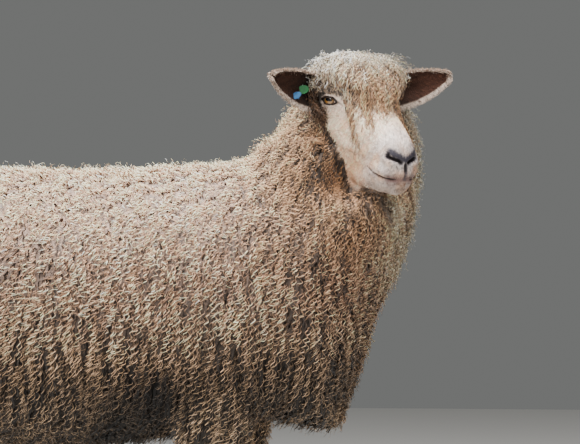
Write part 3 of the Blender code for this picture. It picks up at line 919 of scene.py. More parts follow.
class Finish:
    """A Principled material, built up node by node."""

    def __init__(self, name, roughness, **numbers):
        self.made = bpy.data.materials.new(name)
        self.made.use_nodes = True
        self.tree = self.made.node_tree
        self.shader = self.tree.nodes["Principled BSDF"]
        for socket, number in {"Roughness": roughness, **numbers}.items():
            self.feed(socket, number)

    def feed(self, socket, value, node=None):
        """Puts a number, or another node's output, on an input of the node or the shader."""
        name = socket if isinstance(socket, int) else socket.replace("_", " ")
        found = (node or self.shader).inputs[name]
        if isinstance(value, bpy.types.NodeSocket):
            self.tree.links.new(value, found)
        else:
            found.default_value = value

    def node(self, kind, output, *first, **inputs):
        """The output of a new node, with its inputs fed in order or by name."""
        made = self.tree.nodes.new("ShaderNode" + kind)
        for name in ("operation", "vector_type", "uv_map", "layer_name", "attribute_name"):
            if name in inputs:
                setattr(made, name, inputs.pop(name))
        for socket, value in [*enumerate(first), *inputs.items()]:
            self.feed(socket, value, made)
        return made.outputs[output]

    def noise(self, scale, detail=3.0, stretch=(1, 1, 1), turned=(0, 0, 0)):
        """Noise by place, drawn out along an axis, which is first turned."""
        where = self.node("TexCoord", "Object")
        turn = {"Vector": where, "Scale": stretch, "Rotation": turned, "vector_type": "TEXTURE"}
        there = self.node("Mapping", "Vector", **turn)
        return self.node("TexNoise", "Fac", Vector=there, Scale=scale, Detail=detail)

    def ranged(self, factor, low, high):
        return self.node("MapRange", "Result", Value=factor, To_Min=low, To_Max=high)

    def painted(self, factor, low, high):
        """The painted colour, made darker and lighter by the factor."""
        colour = self.node("VertexColor", "Color", layer_name="coat")
        tone = self.ranged(factor, low, high)
        toned = self.node("VectorMath", "Vector", colour, Scale=tone, operation="SCALE")
        self.feed("Base_Color", toned)

    def rough(self, factor, low, high):
        self.feed("Roughness", self.ranged(factor, low, high))

    def bump(self, height, strength, distance):
        bent = self.node("Bump", "Normal", Height=height, Strength=strength, Distance=distance)
        self.feed("Normal", bent)

    def calc(self, operation, *values):
        return self.node("Math", "Value", *values, operation=operation)


def add_threads(finish, swing):
    """0 at the sides of each thread of a tuft and 1 along its ridge; the threads wave by the swing."""
    drawn = finish.node("UVMap", "UV", uv_map="threads")
    apart = finish.tree.nodes.new("ShaderNodeSeparateXYZ")
    finish.feed("Vector", drawn, apart)
    across = apart.outputs["X"]
    if swing:
        wave = finish.calc("SINE", finish.calc("MULTIPLY", apart.outputs["Y"], 2 * math.pi))
        across = finish.calc("MULTIPLY_ADD", wave, swing, across)
    return finish.calc("PINGPONG", across, 0.5)


def wool_material(name, swing):
    finish = Finish(name, 0.75, Specular_IOR_Level=0.35, Sheen_Weight=0.15, Sheen_Roughness=0.5)
    fibre = finish.noise(900.0)
    both = finish.calc("MULTIPLY_ADD", add_threads(finish, swing), 1.3, fibre)
    # painted shade along each thread's sides and a painted highlight along its ridge
    finish.painted(finish.calc("SUBTRACT", both, 0.30), *(THREAD_SHADE if swing else STRAND_SHADE))
    finish.rough(fibre, 0.60, 0.85)
    finish.bump(both, 0.7, 0.0009)
    return finish.made


def skin_material():
    """Short hair, which lies flatter and glossier where the skin is bare."""
    finish = Finish("skin", 0.7, Specular_IOR_Level=0.3)
    hair = finish.noise(520.0, 4.0, (3.2, 1, 1), HEAD.to_euler())
    hairy = finish.node("Attribute", "Fac", attribute_name="hairy")
    finish.painted(hair, 0.45, 1.55)
    finish.rough(hairy, 0.38, 0.85)
    finish.bump(hair, finish.ranged(hairy, 0.25, 0.9), 0.0018)
    return finish.made


def hair_material(name):
    finish = Finish(name, 0.7, Specular_IOR_Level=0.3)
    fibre = finish.noise(700.0)
    finish.painted(fibre, 0.86, 1.14)
    finish.rough(fibre, 0.6, 0.8)
    return finish.made


def eye_material():
    finish = Finish("eye", 0.06, Specular_IOR_Level=0.6, Coat_Weight=1.0, Coat_Roughness=0.02)
    finish.painted(finish.noise(900.0), 0.8, 1.2)
    return finish.made


def plain_material(name, roughness, noise, stops, rough, bump):
    """Horn or moulded plastic: two colours blended by noise, each given with its place."""
    finish = Finish(name, roughness)
    grain = finish.noise(*noise)
    ramp = finish.tree.nodes.new("ShaderNodeValToRGB")
    for element, (position, colour) in zip(ramp.color_ramp.elements, stops):
        element.position = position
        element.color = (*colour, 1)
    finish.feed("Fac", grain, ramp)
    finish.feed("Base_Color", ramp.outputs["Color"])
    finish.rough(grain, *rough)
    finish.bump(grain, *bump)
    return finish.made


def claw_material():
    stops = ((0.35, CLAW_HORN), (0.75, CLAW_PALE))
    return plain_material("claw", 0.5, (60.0, 5.0, (1, 1, 0.17)), stops, (0.4, 0.7), (0.6, 0.0012))


def tag_material(name, colour):
    stops = ((0.30, colour * 0.75), (0.75, np.minimum(colour * 1.25, 1)))
    return plain_material(name, 0.4, (220.0, 5.0), stops, (0.3, 0.55), (0.2, 0.0004))


# ---------------------------------------------------------------- tufts


def walked(ground, roots, lays, lengths, shares, steps, rise=0.55, curls=0.0, limit=1.0):
    """Points and facings along each tuft, as it rises to its share of the coat's depth.

    Curls is how far each tuft turns round on the skin along its length, and limit is the
    deepest that the coat counts as.
    """
    turn = np.broadcast_to(np.asarray(curls, float), len(roots))[:, None]
    current, outs, depth = ground.nearest(roots)
    trail, facing = [current], [outs]
    heading = unit(lays(current, outs))
    for k in range(1, steps + 1):
        heading = unit(heading * 0.45 + unit(lays(current, outs)) * 0.55)
        level = unit(along_surface(heading, outs))
        bent = turn * (k / steps) ** 1.5
        level = level * np.cos(bent) + np.cross(outs, level) * np.sin(bent)
        here, outs, there = ground.nearest(current + level * (lengths / steps)[:, None])
        depth = np.minimum(np.minimum(there, depth + DEPTH_STEP), limit)
        current = here + outs * (shares * depth * (k / steps) ** rise)[:, None]
        trail.append(current)
        facing.append(outs)
    return np.stack(trail, axis=1), np.stack(facing, axis=1)


def gathered(trail, share, rate, random):
    """The tufts drawn together towards their tips, into staples about a few of them."""
    count = len(trail)
    leaders = random.choice(count, size=max(int(count * rate), 1), replace=False)
    tree = KDTree(len(leaders))
    for i, leader in enumerate(leaders.tolist()):
        tree.insert(trail[leader, 0], i)
    tree.balance()
    chosen = leaders[[tree.find(p)[1] for p in trail[:, 0].tolist()]]
    t = np.linspace(0, 1, trail.shape[1])[None, :, None]
    apart = trail[:, :1] - trail[chosen][:, :1]
    drawn = trail[chosen] + apart * (1 - 0.75 * t)
    return trail + (drawn - trail) * (share[:, None, None] * t**0.8), chosen


def resampled(trail, stops):
    """The trail's points at each of the stops from 0 to 1, on a smooth curve."""
    count = trail.shape[1] - 1
    first, last = 2 * trail[:, :1] - trail[:, 1:2], 2 * trail[:, -1:] - trail[:, -2:-1]
    ends = np.concatenate([first, trail, last], axis=1)
    place = np.clip(stops * count, 0, count - 1e-6)
    index = place.astype(int)
    return bend_between(*(ends[:, index + k] for k in range(4)), (place - index)[None, :, None])


def ribbons(trail, facing, lengths, widths, crimp, segments, random):
    """Each tuft as a flat strip that waves along its trail. Crimp is wavelength, height and phase."""
    wave, height, phase = (c[:, None, None] for c in crimp)
    t = np.linspace(0, 1, segments + 1) ** ROOT_STEPS
    line, out = resampled(trail, t), unit(resampled(facing, t))
    t = t[None, :, None]
    across = unit(np.cross(unit(np.gradient(line, axis=1)), out))
    turn = phase + 2 * math.pi * lengths[:, None, None] * t / wave
    swell = height * np.clip(0.15 + 1.3 * t, 0, 1)
    line = line + across * np.sin(turn) * swell + out * np.cos(turn) * swell * 0.85
    along = unit(np.gradient(line, axis=1))
    roll = 0.7 * np.cos(turn + 0.6) + random.normal(0, 0.25, (len(line), 1, 1))
    level = unit(np.cross(along, out))
    breadth = unit(level * np.cos(roll) + np.cross(level, along) * np.sin(roll))
    taper = np.minimum(1, 0.35 + 3 * t) * (1 - 0.7 * t**2.5)
    half = breadth * widths[:, None, None] * taper / 2
    return np.stack([line - half, line + half], axis=2), np.cos(turn[:, :, 0])


def strip_mesh(name, strips):
    """One mesh of many strips of quads."""
    count, rows = strips.shape[:2]
    index = np.arange(count * rows * 2).reshape(count, rows, 2)
    quads = np.stack([index[:, :-1, 0], index[:, :-1, 1], index[:, 1:, 1], index[:, 1:, 0]], axis=-1)
    corners = quads.reshape(-1)
    mesh = bpy.data.meshes.new(name)
    mesh.vertices.add(count * rows * 2)
    mesh.loops.add(len(corners))
    mesh.polygons.add(len(corners) // 4)
    write(mesh.vertices, "co", strips)
    write(mesh.loops, "vertex_index", corners, np.int32)
    write(mesh.polygons, "loop_start", np.arange(0, len(corners), 4), np.int32)
    mesh.update(calc_edges=True)
    mesh.shade_smooth()
    return mesh, corners


def spread(values):
    """Each value's place in their order, evenly from 0 to 1."""
    order = np.empty(len(values))
    order[np.argsort(values)] = np.arange(len(values))
    return (order + 0.5) / len(values)


def tuft_chart(unwrap, rows):
    """Each tuft as a small patch at its root's place on the unwrapped skin."""
    across = np.tile([0.0, 1.0], (rows, 1))
    along = np.tile(np.linspace(0, 1, rows)[:, None], (1, 2))
    patch = np.stack([across, along], axis=-1) * TUFT_PATCH
    place = np.column_stack([spread(unwrap[:, 0]), spread(unwrap[:, 1])])
    place = CHART_EDGE + place * (CHART_SPAN - TUFT_PATCH)
    return place[:, None, None, :] + patch[None]


def thread_chart(lengths, widths, rows):
    """How many threads across, and how many waves along, each place on a tuft is."""
    whole = np.ones((1, rows, 2))
    u = np.maximum(np.round(widths / THREAD_WIDTH), 1)[:, None, None] * np.array([0.0, 1.0]) * whole
    along = np.linspace(0, 1, rows) ** ROOT_STEPS
    v = (lengths / THREAD_WAVE)[:, None, None] * along[None, :, None] * whole
    return np.stack([u, v + (np.arange(len(lengths)) * 0.618 % 1)[:, None, None]], axis=-1)


def add_map(mesh, name, corners, chart):
    write(mesh.uv_layers.new(name=name).data, "uv", chart.reshape(-1, 2)[corners])


def finish_piece(name, mesh, material, nodes):
    mesh.materials.append(material)
    made = show(name, mesh)
    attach(made, "root")
    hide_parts(*nodes)


def tuft_pieces(name, strips, colours, unwrap, material, slot, nodes, order, sizes=None):
    """Joined meshes of tufts, each with few enough triangles, cut along the given order."""
    count, rows = strips.shape[:2]
    room = PIECE_TRIANGLES // (2 * (rows - 1))
    groups = np.array_split(np.argsort(order), max(1, math.ceil(count / room)))
    for i, chosen in enumerate(groups):
        piece = name if len(groups) == 1 else f"{name}_{i + 1}"
        mesh, corners = strip_mesh(piece, strips[chosen])
        add_map(mesh, "OFBake", corners, tuft_chart(unwrap[chosen], rows))
        if sizes:
            add_map(mesh, "threads", corners, thread_chart(*(size[chosen] for size in sizes), rows))
        paint(mesh, colours[chosen].reshape(-1, 3))
        finish_piece(piece, mesh, material, nodes)


def in_both_edges(colours):
    """Colours along each strip, on both of its edges and never too pale."""
    return np.clip(colours[:, :, None], 0, PALEST) * np.ones((1, 1, 2, 1))


def even_colours(colours, rows):
    """The same for strips of one colour each."""
    return in_both_edges(np.repeat(colours[:, None], rows, axis=1))


def fewer(count):
    return count


# ---------------------------------------------------------------- the fleece

# The woolly nodes, and the axis along which each one's coat is cut. The head's is its own.
REGIONS = {"trunk": 0, "neck": 2, "head": None, "tail": 2}
REGIONS.update({f"leg_{end}_{hand}": 2 for end in ("fore", "hind") for _, hand in SIDES})


def region_of(points):
    """Which of the woolly nodes is nearest to each point."""
    corners, facets, owner = [], [], []
    for i, name in enumerate(REGIONS):
        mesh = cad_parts[name].data
        mesh.calc_loop_triangles()
        start = len(corners)
        corners += places(mesh).tolist()
        facets += [[start + v for v in t.vertices] for t in mesh.loop_triangles]
        owner += [i] * len(mesh.loop_triangles)
    tree = BVHTree.FromPolygons(corners, facets)
    return np.array(owner)[[tree.find_nearest(p)[2] for p in points.tolist()]]


def wool_lay(points, outs):
    """The way the wool hangs at each place: down, off the back, and forwards off the forehead."""
    every = np.ones(len(points))
    side = np.where(points[:, 1] < 0, -1.0, 1.0)
    down = np.column_stack([every * -0.16, 0.35 * side * (outs[:, 2] > 0.6), every * -1.0])
    under = smooth(-0.55, -0.95, outs[:, 2])[:, None]
    down = down * (1 - under) + np.array([-0.8, 0.0, -0.3]) * under
    head = to_head(points)
    crown = near_head(points)
    parted = np.clip(head[:, 1] * 9, -0.7, 0.7) * smooth(0.06, -0.04, head[:, 0])
    forwards = np.column_stack([every, parted, every * -0.10]) @ HEAD_AXES.T
    front = smooth(-0.05, 0.0, head[:, 0])[:, None]
    fringe = forwards * (1 - 0.4 * front) + down * (0.25 + 0.55 * front)
    lay = along_surface(down * (1 - crown[:, None]) + fringe * crown[:, None], outs)
    turn = 0.13 * ripple(points, 0.16, 31) + 0.16 * ripple(points, 0.035, 32)
    turn = turn + smooth(0.45, 0.95, outs[:, 2]) * 0.8 * ripple(points, 0.030, 33) * (1 - crown)
    return swung(lay, outs, turn + crown * 0.45 * ripple(points, 0.018, 34))


def wool_numbers(points, outs, under, random):
    """Each lock's length, width, share of the coat's depth and crimp, by where it grows."""
    count = len(points)
    head, height = to_head(points), points[:, 2]
    neck, crown, forelock = on_neck(points), near_head(points), on_forelock(points)
    back = smooth(0.35, 0.9, outs[:, 2]) * (1 - crown)
    low = smooth(0.62, 0.40, height)
    legs = 1 - smooth(0.28, 0.38, height)
    front = forelock * smooth(0.006, 0.034, np.abs(head[:, 1]))
    length = LOCK_LENGTH - 0.012 * back + 0.004 * low + 0.010 * neck + 0.008 * crown
    length = length - 0.010 * legs + 0.022 * front
    length = length * random.uniform(0.72 - 0.15 * crown, 1.25 + 0.25 * crown, count)
    if under:
        length = length * (1 - 0.45 * forelock - 0.6 * short_leg(points - ABOVE_SHANK))
    width = UNDER_WIDTH if under else LOCK_WIDTH - 0.0001 * crown - 0.0002 * neck
    width = width * random.uniform(0.75, 1.3, count)
    top = random.random(count) < TOP_LOCKS
    shares = np.where(top, random.uniform(0.92, 1.05, count), random.uniform(0.55, 0.85, count))
    shares = random.uniform(0.40, 0.65, count) if under else shares
    shares = shares * (1 + 0.5 * on_leg(points) * smooth(0.2, 0.8, outs[:, 0]))
    flat = smooth(0.00, -0.045, head[:, 1]) * smooth(-0.01, 0.03, head[:, 2])
    shares = shares * (1 - 0.45 * crown * flat)
    stray = random.random(count) < (0 if under else STRAYS * (1 + 2 * crown + neck))
    shares = np.where(stray, random.uniform(1.15, 1.6 + 0.4 * crown, count), shares)
    wave = LOCK_WAVE - 0.0022 * back - 0.0026 * neck + 0.012 * front
    wave = wave * random.uniform(0.85, 1.2, count)
    swing = (LOCK_SWING - 0.0006 * back - 0.0010 * neck) * random.uniform(0.6, 1.3, count)
    return length, np.where(stray, STRAY_WIDTH, width), shares, wave, swing * (0.4 if under else 1.0)


def hides_eye(trail):
    """Whether a lock lies over an eye, or in its way forwards and up."""
    side = one_side(to_head(trail.reshape(-1, 3)))
    ahead = np.array(EYE_LINE).sum(axis=0) / 2 + EYE_SIGHT
    far = np.minimum.reduce([
        from_line(side, EYE_LINE) - EYE_CLEARING,
        from_line(side, TEAR_LINE) - EYE_CLEARING * 0.6,
        from_line(side, (EYE_BACK, ahead, EYE_FRONT)) - EYE_CLEARING * 0.7,
    ])
    return (far.reshape(trail.shape[:2]) < 0).any(axis=1)


def unwrapped(points, region):
    """Where each root is on the skin of its own part, opened out round its long axis."""
    chart = np.empty((len(points), 2))
    for i, name in enumerate(REGIONS):
        own = region == i
        if name == "head":
            along, aside, up = (to_head(points[own]) + (0, 0, 0.02)).T
        elif name == "trunk":
            along, aside, up = (points[own] - (0, 0, 0.53)).T
        else:
            centre = middle(name)
            up, aside, along = (points[own] - (centre.x, centre.y, 0)).T
        chart[own] = np.column_stack([along, np.arctan2(aside, up)])
    return chart


def lock_colours(roots, outs, tips, shares, under, crest, random):
    """Colours down each lock: painted shade at the root, painted highlights on the crests, each lock
    its own tone.
    """
    count, t = len(roots), np.linspace(0, 1, crest.shape[1])
    ends = (coat_colour(place, outs)[:, None] for place in (roots, tips))
    base = mix(*ends, np.tile(t, (count, 1)))
    base = greyed(base, 0.3) if under else base
    stretched = roots * (1, 1, 0.35)
    streak = 0.5 * ripple(stretched, 0.030, 41) + 0.5 * ripple(stretched, 0.085, 42)
    open_sky, crown = lit(roots, outs), near_head(roots)
    varied = 0.05 if under else 0.22 - 0.05 * open_sky + 0.08 * np.maximum(on_neck(roots), crown)
    tone = 1 + 0.10 * streak + random.normal(0, 1, count) * varied
    # paler on the poll: painted light on the top of the head
    tone = tone * (1.05 + 0.22 * crown)
    if under:
        # the locks beneath are painted darker: painted shade deep in the coat
        tone = tone * (under_shade(roots, outs) + 0.3 * short_leg(roots - ABOVE_SHANK))
    # locks lower in the coat are painted darker: painted shade, less where the coat is open to the sky
    deep = 0.30 + 0.46 * open_sky
    tone = np.maximum(tone, 0.2) * (deep + (1.10 - deep) * smooth(0.82, 0.93, shares))
    gold = random.uniform(0, 1, count) * (0 if under else 1)
    warm = np.column_stack([np.ones(count), 1 - 0.03 * gold, 1 - 0.16 * gold])
    # painted shade towards the root, where other locks cover it
    root = (0.40 + 0.42 * open_sky)[:, None]
    shade = root + (1.02 - root) * smooth(0.0, 0.50, t)[None] + 0.12 * t[None]
    # painted highlight on the crests of the crimp
    crest_highlight = (0.66 - 0.18 * open_sky + 0.10 * crown)[:, None] * (0 if under else 1)
    shade = shade * (1 + crest_highlight * (crest - 0.25))
    return in_both_edges(base * (warm * tone[:, None])[:, None] * shade[:, :, None])


def lock_layer(layer, ground, weight, count, rows, material, random):
    """One layer of the wool, as pieces for each woolly node."""
    under = layer == "under"
    count = fewer(count)
    strewn = ground.scatter(count, weight, random)
    roots, outs = strewn.roots, strewn.outs
    length, width, shares, wave, swing = wool_numbers(roots, outs, under, random)
    open_sky = lit(roots, outs)
    curls = random.normal(0, 1, count) * (0.16 + 0.95 * open_sky - 0.25 * near_head(roots))
    trail, facing = walked(ground, roots, wool_lay, length, shares, LOCK_STEPS, curls=curls)
    clump = np.clip(0.16 + 0.12 * ripple(roots, 0.06, 51), 0, 1) * (1 - 0.6 * open_sky)
    trail, chosen = gathered(trail, clump, CLUMPS, random)
    t = np.linspace(0, 1, trail.shape[1])[None]
    droop = HANG * random.random((count, 1)) ** 2 * smooth(0.1, -0.5, facing[:, :, 2]) * t**2
    trail[:, :, 2] -= droop * (1 - short_leg(trail[:, -1]))[:, None]
    clear = ~hides_eye(trail)
    phase = random.uniform(0, 2 * math.pi, count)
    phase = phase[chosen] + random.normal(0, 1.1, count)
    wave = wave * 0.4 + wave[chosen] * 0.6
    strips, crest = ribbons(trail, facing, length, width, (wave, swing, phase), rows, random)
    colours = lock_colours(roots, outs, trail[:, -1], shares, under, crest, random)
    region = region_of(roots)
    chart = unwrapped(roots, region)
    for i, (name, axis) in enumerate(REGIONS.items()):
        own = (region == i) & clear
        order = to_head(roots[own])[:, 0] if axis is None else roots[own][:, axis]
        sizes = (length[own], width[own])
        look = (colours[own], chart[own], material, "fleece", (name,))
        tuft_pieces(f"{layer}_{name}", strips[own], *look, order, sizes)


def fleece(ground, random):
    """The wool: broad soft locks beneath, and many thin crimped ones over them."""
    points, up = ground.points, ground.normals[:, 2]
    weight = (1 - short_head(points, -0.004)) * (1 - short_leg(points))
    weight = weight * (1 + 0.9 * on_neck(points) + 1.2 * near_head(points) + 2.4 * on_forelock(points))
    weight = weight * (1 + 0.5 * smooth(0.3, 0.9, up))
    weight = weight * (1 - 0.35 * smooth(0.3, 0.9, -up))
    broad = wool_material("under_wool", THREAD_SWING)
    lock_layer("under", ground, weight, UNDER_LOCKS, UNDER_ROWS, broad, random)
    lock_layer("fleece", ground, weight, LOCKS, LOCK_ROWS, wool_material("wool", 0), random)


# ---------------------------------------------------------------- short hair


def face_lay(points, outs):
    """Short hair runs down the nose, and back and down over the cheeks."""
    front = smooth(-0.01, 0.02, to_head(points)[:, 2])
    way = np.column_stack([1.4 * front - 0.35, np.zeros(len(points)), -0.8 + 0.5 * front]) @ HEAD_AXES.T
    return swung(along_surface(way, outs), outs, 0.5 * ripple(points, 0.03, 61))


def leg_lay(points, outs):
    return unit(along_surface(np.tile([-0.15, 0.0, -1.0], (len(points), 1)), outs))


def short_hair(ground, rest, colours, random):
    """Short tufts that break the form of the face and shanks, in the skin's own colours."""
    side = one_side(rest)
    bare = np.maximum.reduce([
        leather(side) * 1.4,
        near_line(side, MOUTH, 0.006) * 1.2,
        near_line(side, EYE_LINE, 0.013) * 1.6,
    ])
    face = short_head(ground.points, -0.010) * (1 - smooth(0.3, 0.7, bare))
    shanks = short_leg(ground.points) * (ground.points[:, 2] > CLAW_TOP)
    material = hair_material("hair")
    sets = (
        ("hair_head", face, FACE_TUFTS, face_lay, FACE_TUFT, ("head",)),
        ("hair_shanks", shanks, SHANK_TUFTS, leg_lay, SHANK_TUFT, SHANKS),
    )
    for name, weight, count, lay, size, nodes in sets:
        count = fewer(count)
        strewn = ground.scatter(count, weight, random)
        length = size * random.uniform(0.6, 1.3, count)
        shares = random.uniform(0.3, 1.0, count)
        trail, facing = walked(ground, strewn.roots, lay, length, shares, 2, 0.8, limit=HAIR_DEPTH)
        straight = (np.ones(count), np.zeros(count), np.zeros(count))
        strips, _ = ribbons(trail, facing, length, length * TUFT_WIDTH, straight, 3, random)
        tones = random.uniform(0.72, 1.34, count)[:, None] * strewn.of(colours)
        x, y, z = (to_head(strewn.roots) if name == "hair_head" else strewn.roots[:, (2, 1, 0)]).T
        chart = np.column_stack([x, np.arctan2(y, z + 0.03)])
        look = (even_colours(tones, 4), chart, material, "hair", nodes)
        tuft_pieces(name, strips, *look, strewn.roots[:, 0])


# ---------------------------------------------------------------- eyes


def eyeball(side, hand, material):
    """An eyeball with its iris and level pupil."""
    ball = bmesh.new()
    bmesh.ops.create_uvsphere(ball, u_segments=EYE_SEGMENTS, v_segments=EYE_RINGS, radius=EYE_RADIUS)
    mesh = as_mesh(ball)
    points = places(mesh)
    x, y, z = points.T
    front = z > 0
    radius, around = np.hypot(x, y) / EYE_RADIUS, np.arctan2(y, x)
    spokes = 0.5 + 0.5 * np.sin(47 * around + 2 * np.sin(5 * around))
    iris = mix(IRIS, IRIS_EDGE, smooth(0.45, 0.68, radius) * 0.9) * (0.90 + 0.15 * spokes)[:, None]
    slot = (np.abs(x / PUPIL_LONG) ** 3 + np.abs((y - PUPIL_UP) / PUPIL_HIGH) ** 3) ** (1 / 3)
    white = np.where(front, smooth(0.70, 0.76, radius), 1)
    pupil = np.where(front, 1 - smooth(0.92, 1.08, slot), 0)
    paint(mesh, layered(iris, (EYE_WHITE, white), (PUPIL, pupil)))
    gaze = unit(np.array(EYE_GAZE))
    forwards = lid_axes()[1]
    level = unit(along_surface(forwards, gaze))
    axes = np.stack([level, np.cross(level, gaze), gaze])
    bulge = 1 + CORNEA * smooth(0.72, 0.95, z / EYE_RADIUS)
    placed = (points * bulge[:, None]) @ axes + np.array(EYE_PLACE)
    move(mesh, from_head(placed * (1, side, 1)))
    if side * np.linalg.det(axes) < 0:
        mesh.flip_normals()
    mesh.shade_smooth()
    finish_piece(f"eyeball_{hand}", mesh, material, (f"eye_{hand}",))


def lid_rim(side, hand, material):
    """The dark rim of an eye's lids, a little outside the eyeball."""
    opening, forwards, up, out = lid_axes()
    ball = np.array(EYE_PLACE)
    angle = full_turn(LID_SEGMENTS)
    u = LID_LENGTH * np.cos(angle)
    upper, lower = lid_edge(u)
    v = np.where(np.sin(angle) > 0, upper, -lower)
    flat = (opening - ball) + u[:, None] * forwards + v[:, None] * up
    beside = np.linalg.norm(flat - (flat @ out)[:, None] * out, axis=1)
    depth = np.sqrt(np.maximum((EYE_RADIUS + LID_OVER) ** 2 - beside**2, LID_DEPTH**2))
    centre = flat + (depth - flat @ out)[:, None] * out + ball
    run = unit(np.roll(centre, -1, axis=0) - np.roll(centre, 1, axis=0))
    bow = unit(np.cross(run, out))
    size = LID_RIM * (1 + 0.35 * (v > 0))
    turns = full_turn(RIM_SIDES)
    round_it = bow[:, None] * np.cos(turns)[None, :, None] * 1.3 + out * np.sin(turns)[None, :, None]
    tube = centre[:, None] + size[:, None, None] * round_it
    mesh = over_rings(from_head(tube * (1, side, 1)), closed=True)
    paint(mesh, np.tile(LID_EDGE, (len(mesh.vertices), 1)))
    mesh.shade_smooth()
    finish_piece(f"lids_{hand}", mesh, material, ("head",))


# ---------------------------------------------------------------- ears


def ear_leaf(side, u, v, face):
    """Points of the ear at u from root to tip and v from edge to edge, on face +1 or -1."""
    root, tip, facing = np.array(EAR_ROOT), np.array(EAR_TIP), np.array(EAR_FACING)
    out = unit(tip - root)
    facing = unit(facing - out * (facing @ out))
    breadth = np.cross(out, facing)
    half = 0.5 * EAR_WIDTH * (1 - u**2.4) ** 0.6 * (0.78 + 0.9 * u * (1 - u))
    curl = EAR_CUP * (1 - 0.75 * u) * v * v
    lift = EAR_WAVE * np.sin(u * 9 + v * 4) * (1 - v * v) * (1 - u)
    across = half * (v * np.where(v > 0, LOWER_SPREAD, UPPER_SPREAD))
    thick = 0.5 * EAR_THICK * np.sqrt(np.clip(1 - np.abs(v) ** 4, 0.02, 1)) * (1 - 0.55 * u)
    rise = curl + lift + face * thick
    points = root + (tip - root) * u[..., None] + breadth * across[..., None] + facing * rise[..., None]
    return points * (1, side, 1)


class Ear:
    """An ear's mesh, and how far each point is to the tip, to an edge and on the inner face."""

    def __init__(self, side, hand):
        self.side, self.hand = side, hand
        rows, columns = EAR_ROWS, EAR_COLUMNS
        u = 0.985 * np.sin(0.5 * math.pi * np.linspace(0.02, 1, rows))
        v = np.sin(0.5 * math.pi * np.linspace(-1, 1, columns))
        u, v = np.meshgrid(u, v, indexing="ij")
        front, back = ear_leaf(side, u, v, 1.0), ear_leaf(side, u, v, -1.0)[:, ::-1]
        self.mesh = over_rings(np.concatenate([front, back], axis=1))
        self.u = np.concatenate([u, u], axis=1).ravel()
        self.inner = np.tile(np.concatenate([np.ones(columns), np.zeros(columns)]), rows)
        self.edge = np.tile(np.concatenate([np.abs(v[0]), np.abs(v[0])[::-1]]), rows)

    def coloured(self):
        """Paints the ear, puts it on the head, and keeps its colours."""
        points = places(self.mesh)
        deep = mix(EAR_INSIDE, EAR_DEEP, smooth(0.75, 0.15, self.u)) * EAR_TONE[self.hand]
        deep = deep * (1 + 0.15 * ripple(points, 0.006, 72) * self.inner)[:, None]
        # paler at the edges and tip: pale hair, and partly painted rim light
        rim = np.clip(smooth(0.92, 0.995, self.edge) + smooth(0.94, 0.98, self.u), 0, 1)
        self.colour = layered(
            np.tile(EAR_BACK, (len(points), 1)),
            (deep, self.inner * smooth(0.995, 0.88, self.edge)),
            (EAR_RIM_HAIR_AND_LIGHT, rim * 0.85),
        )
        paint(self.mesh, self.colour * (1 + 0.12 * ripple(points, 0.012, 71))[:, None])
        mark(self.mesh, "hairy", np.ones(len(points)))
        move(self.mesh, from_head(points))
        self.mesh.shade_smooth()

    def rooted(self, count, weight, scatter, random):
        """Tufts' roots about the ear's points: which points, and their places and facings."""
        chosen = random.choice(len(self.u), size=count, p=weight / weight.sum())
        root = places(self.mesh)[chosen] + random.normal(0, scatter, (count, 3))
        return chosen, root, facings(self.mesh)[chosen]

    def pieces(self, kind, strips, colours, chart, material, slot, order, sizes=None):
        look = (colours, chart, material, slot, (f"ear_{self.hand}",))
        tuft_pieces(f"{kind}_ear_{self.hand}", strips, *look, order, sizes)


def sprouted(root, way, normal, length, count, sag):
    """Trails of so many points straight out of their roots, sagging to their tips, and facings."""
    steps = np.linspace(0, 1, count)
    trail = root[:, None] + unit(way)[:, None] * (length[:, None] * steps)[:, :, None]
    trail[:, :, 2] -= sag * length[:, None] * steps[None] ** 2
    return trail, np.repeat(normal[:, None], count, axis=1)


def even_crimp(crimp, count, random):
    """The same wavelength and height for every tuft, and a phase of its own for each."""
    return *(np.full(count, number) for number in crimp), random.uniform(0, 6, count)


def ear_fringe(ear, random, material):
    """Pale hair along the ear's edges and back, and darker hair inside."""
    weight = (1.2 - 0.5 * ear.inner) + 5 * smooth(0.85, 0.99, ear.edge) + 3 * smooth(0.93, 0.98, ear.u)
    count = fewer(EAR_TUFTS)
    chosen, root, normal = ear.rooted(count, weight * smooth(0.10, 0.25, ear.u), 0.0008, random)
    base, tip = (from_head(np.array(place) * (1, ear.side, 1)) for place in (EAR_ROOT, EAR_TIP))
    out = unit(tip - base)
    sideways = unit(root - (base + ((root - base) @ out)[:, None] * out))
    edged = smooth(0.80, 0.97, ear.edge[chosen])[:, None]
    way = out * (0.9 - 0.5 * edged) + sideways * edged * 0.8 + normal * 0.22
    way = way + random.normal(0, 0.22, (count, 3)) - (0, 0, 0.25)
    length = random.uniform(*EAR_TUFT, count) * (0.75 + 0.5 * edged[:, 0])
    trail, facing = sprouted(root, way, normal, length, 3, 0.20)
    crimp = even_crimp(EAR_TUFT_CRIMP, count, random)
    width = random.uniform(*EAR_TUFT_WIDTH, count)
    strips, _ = ribbons(trail, facing, length, width, crimp, 4, random)
    inner = ear.inner[chosen]
    lift = 1 + 1.6 * random.random(count) ** 2 * inner * smooth(0.9, 0.7, ear.edge[chosen])
    tone = ear.colour[chosen] * (random.uniform(0.75, 1.2, count) * lift)[:, None]
    chart = np.column_stack([ear.u[chosen], ear.edge[chosen] + inner * 2])
    ear.pieces("hair", strips, even_colours(tone, 5), chart, material, "hair", ear.u[chosen])


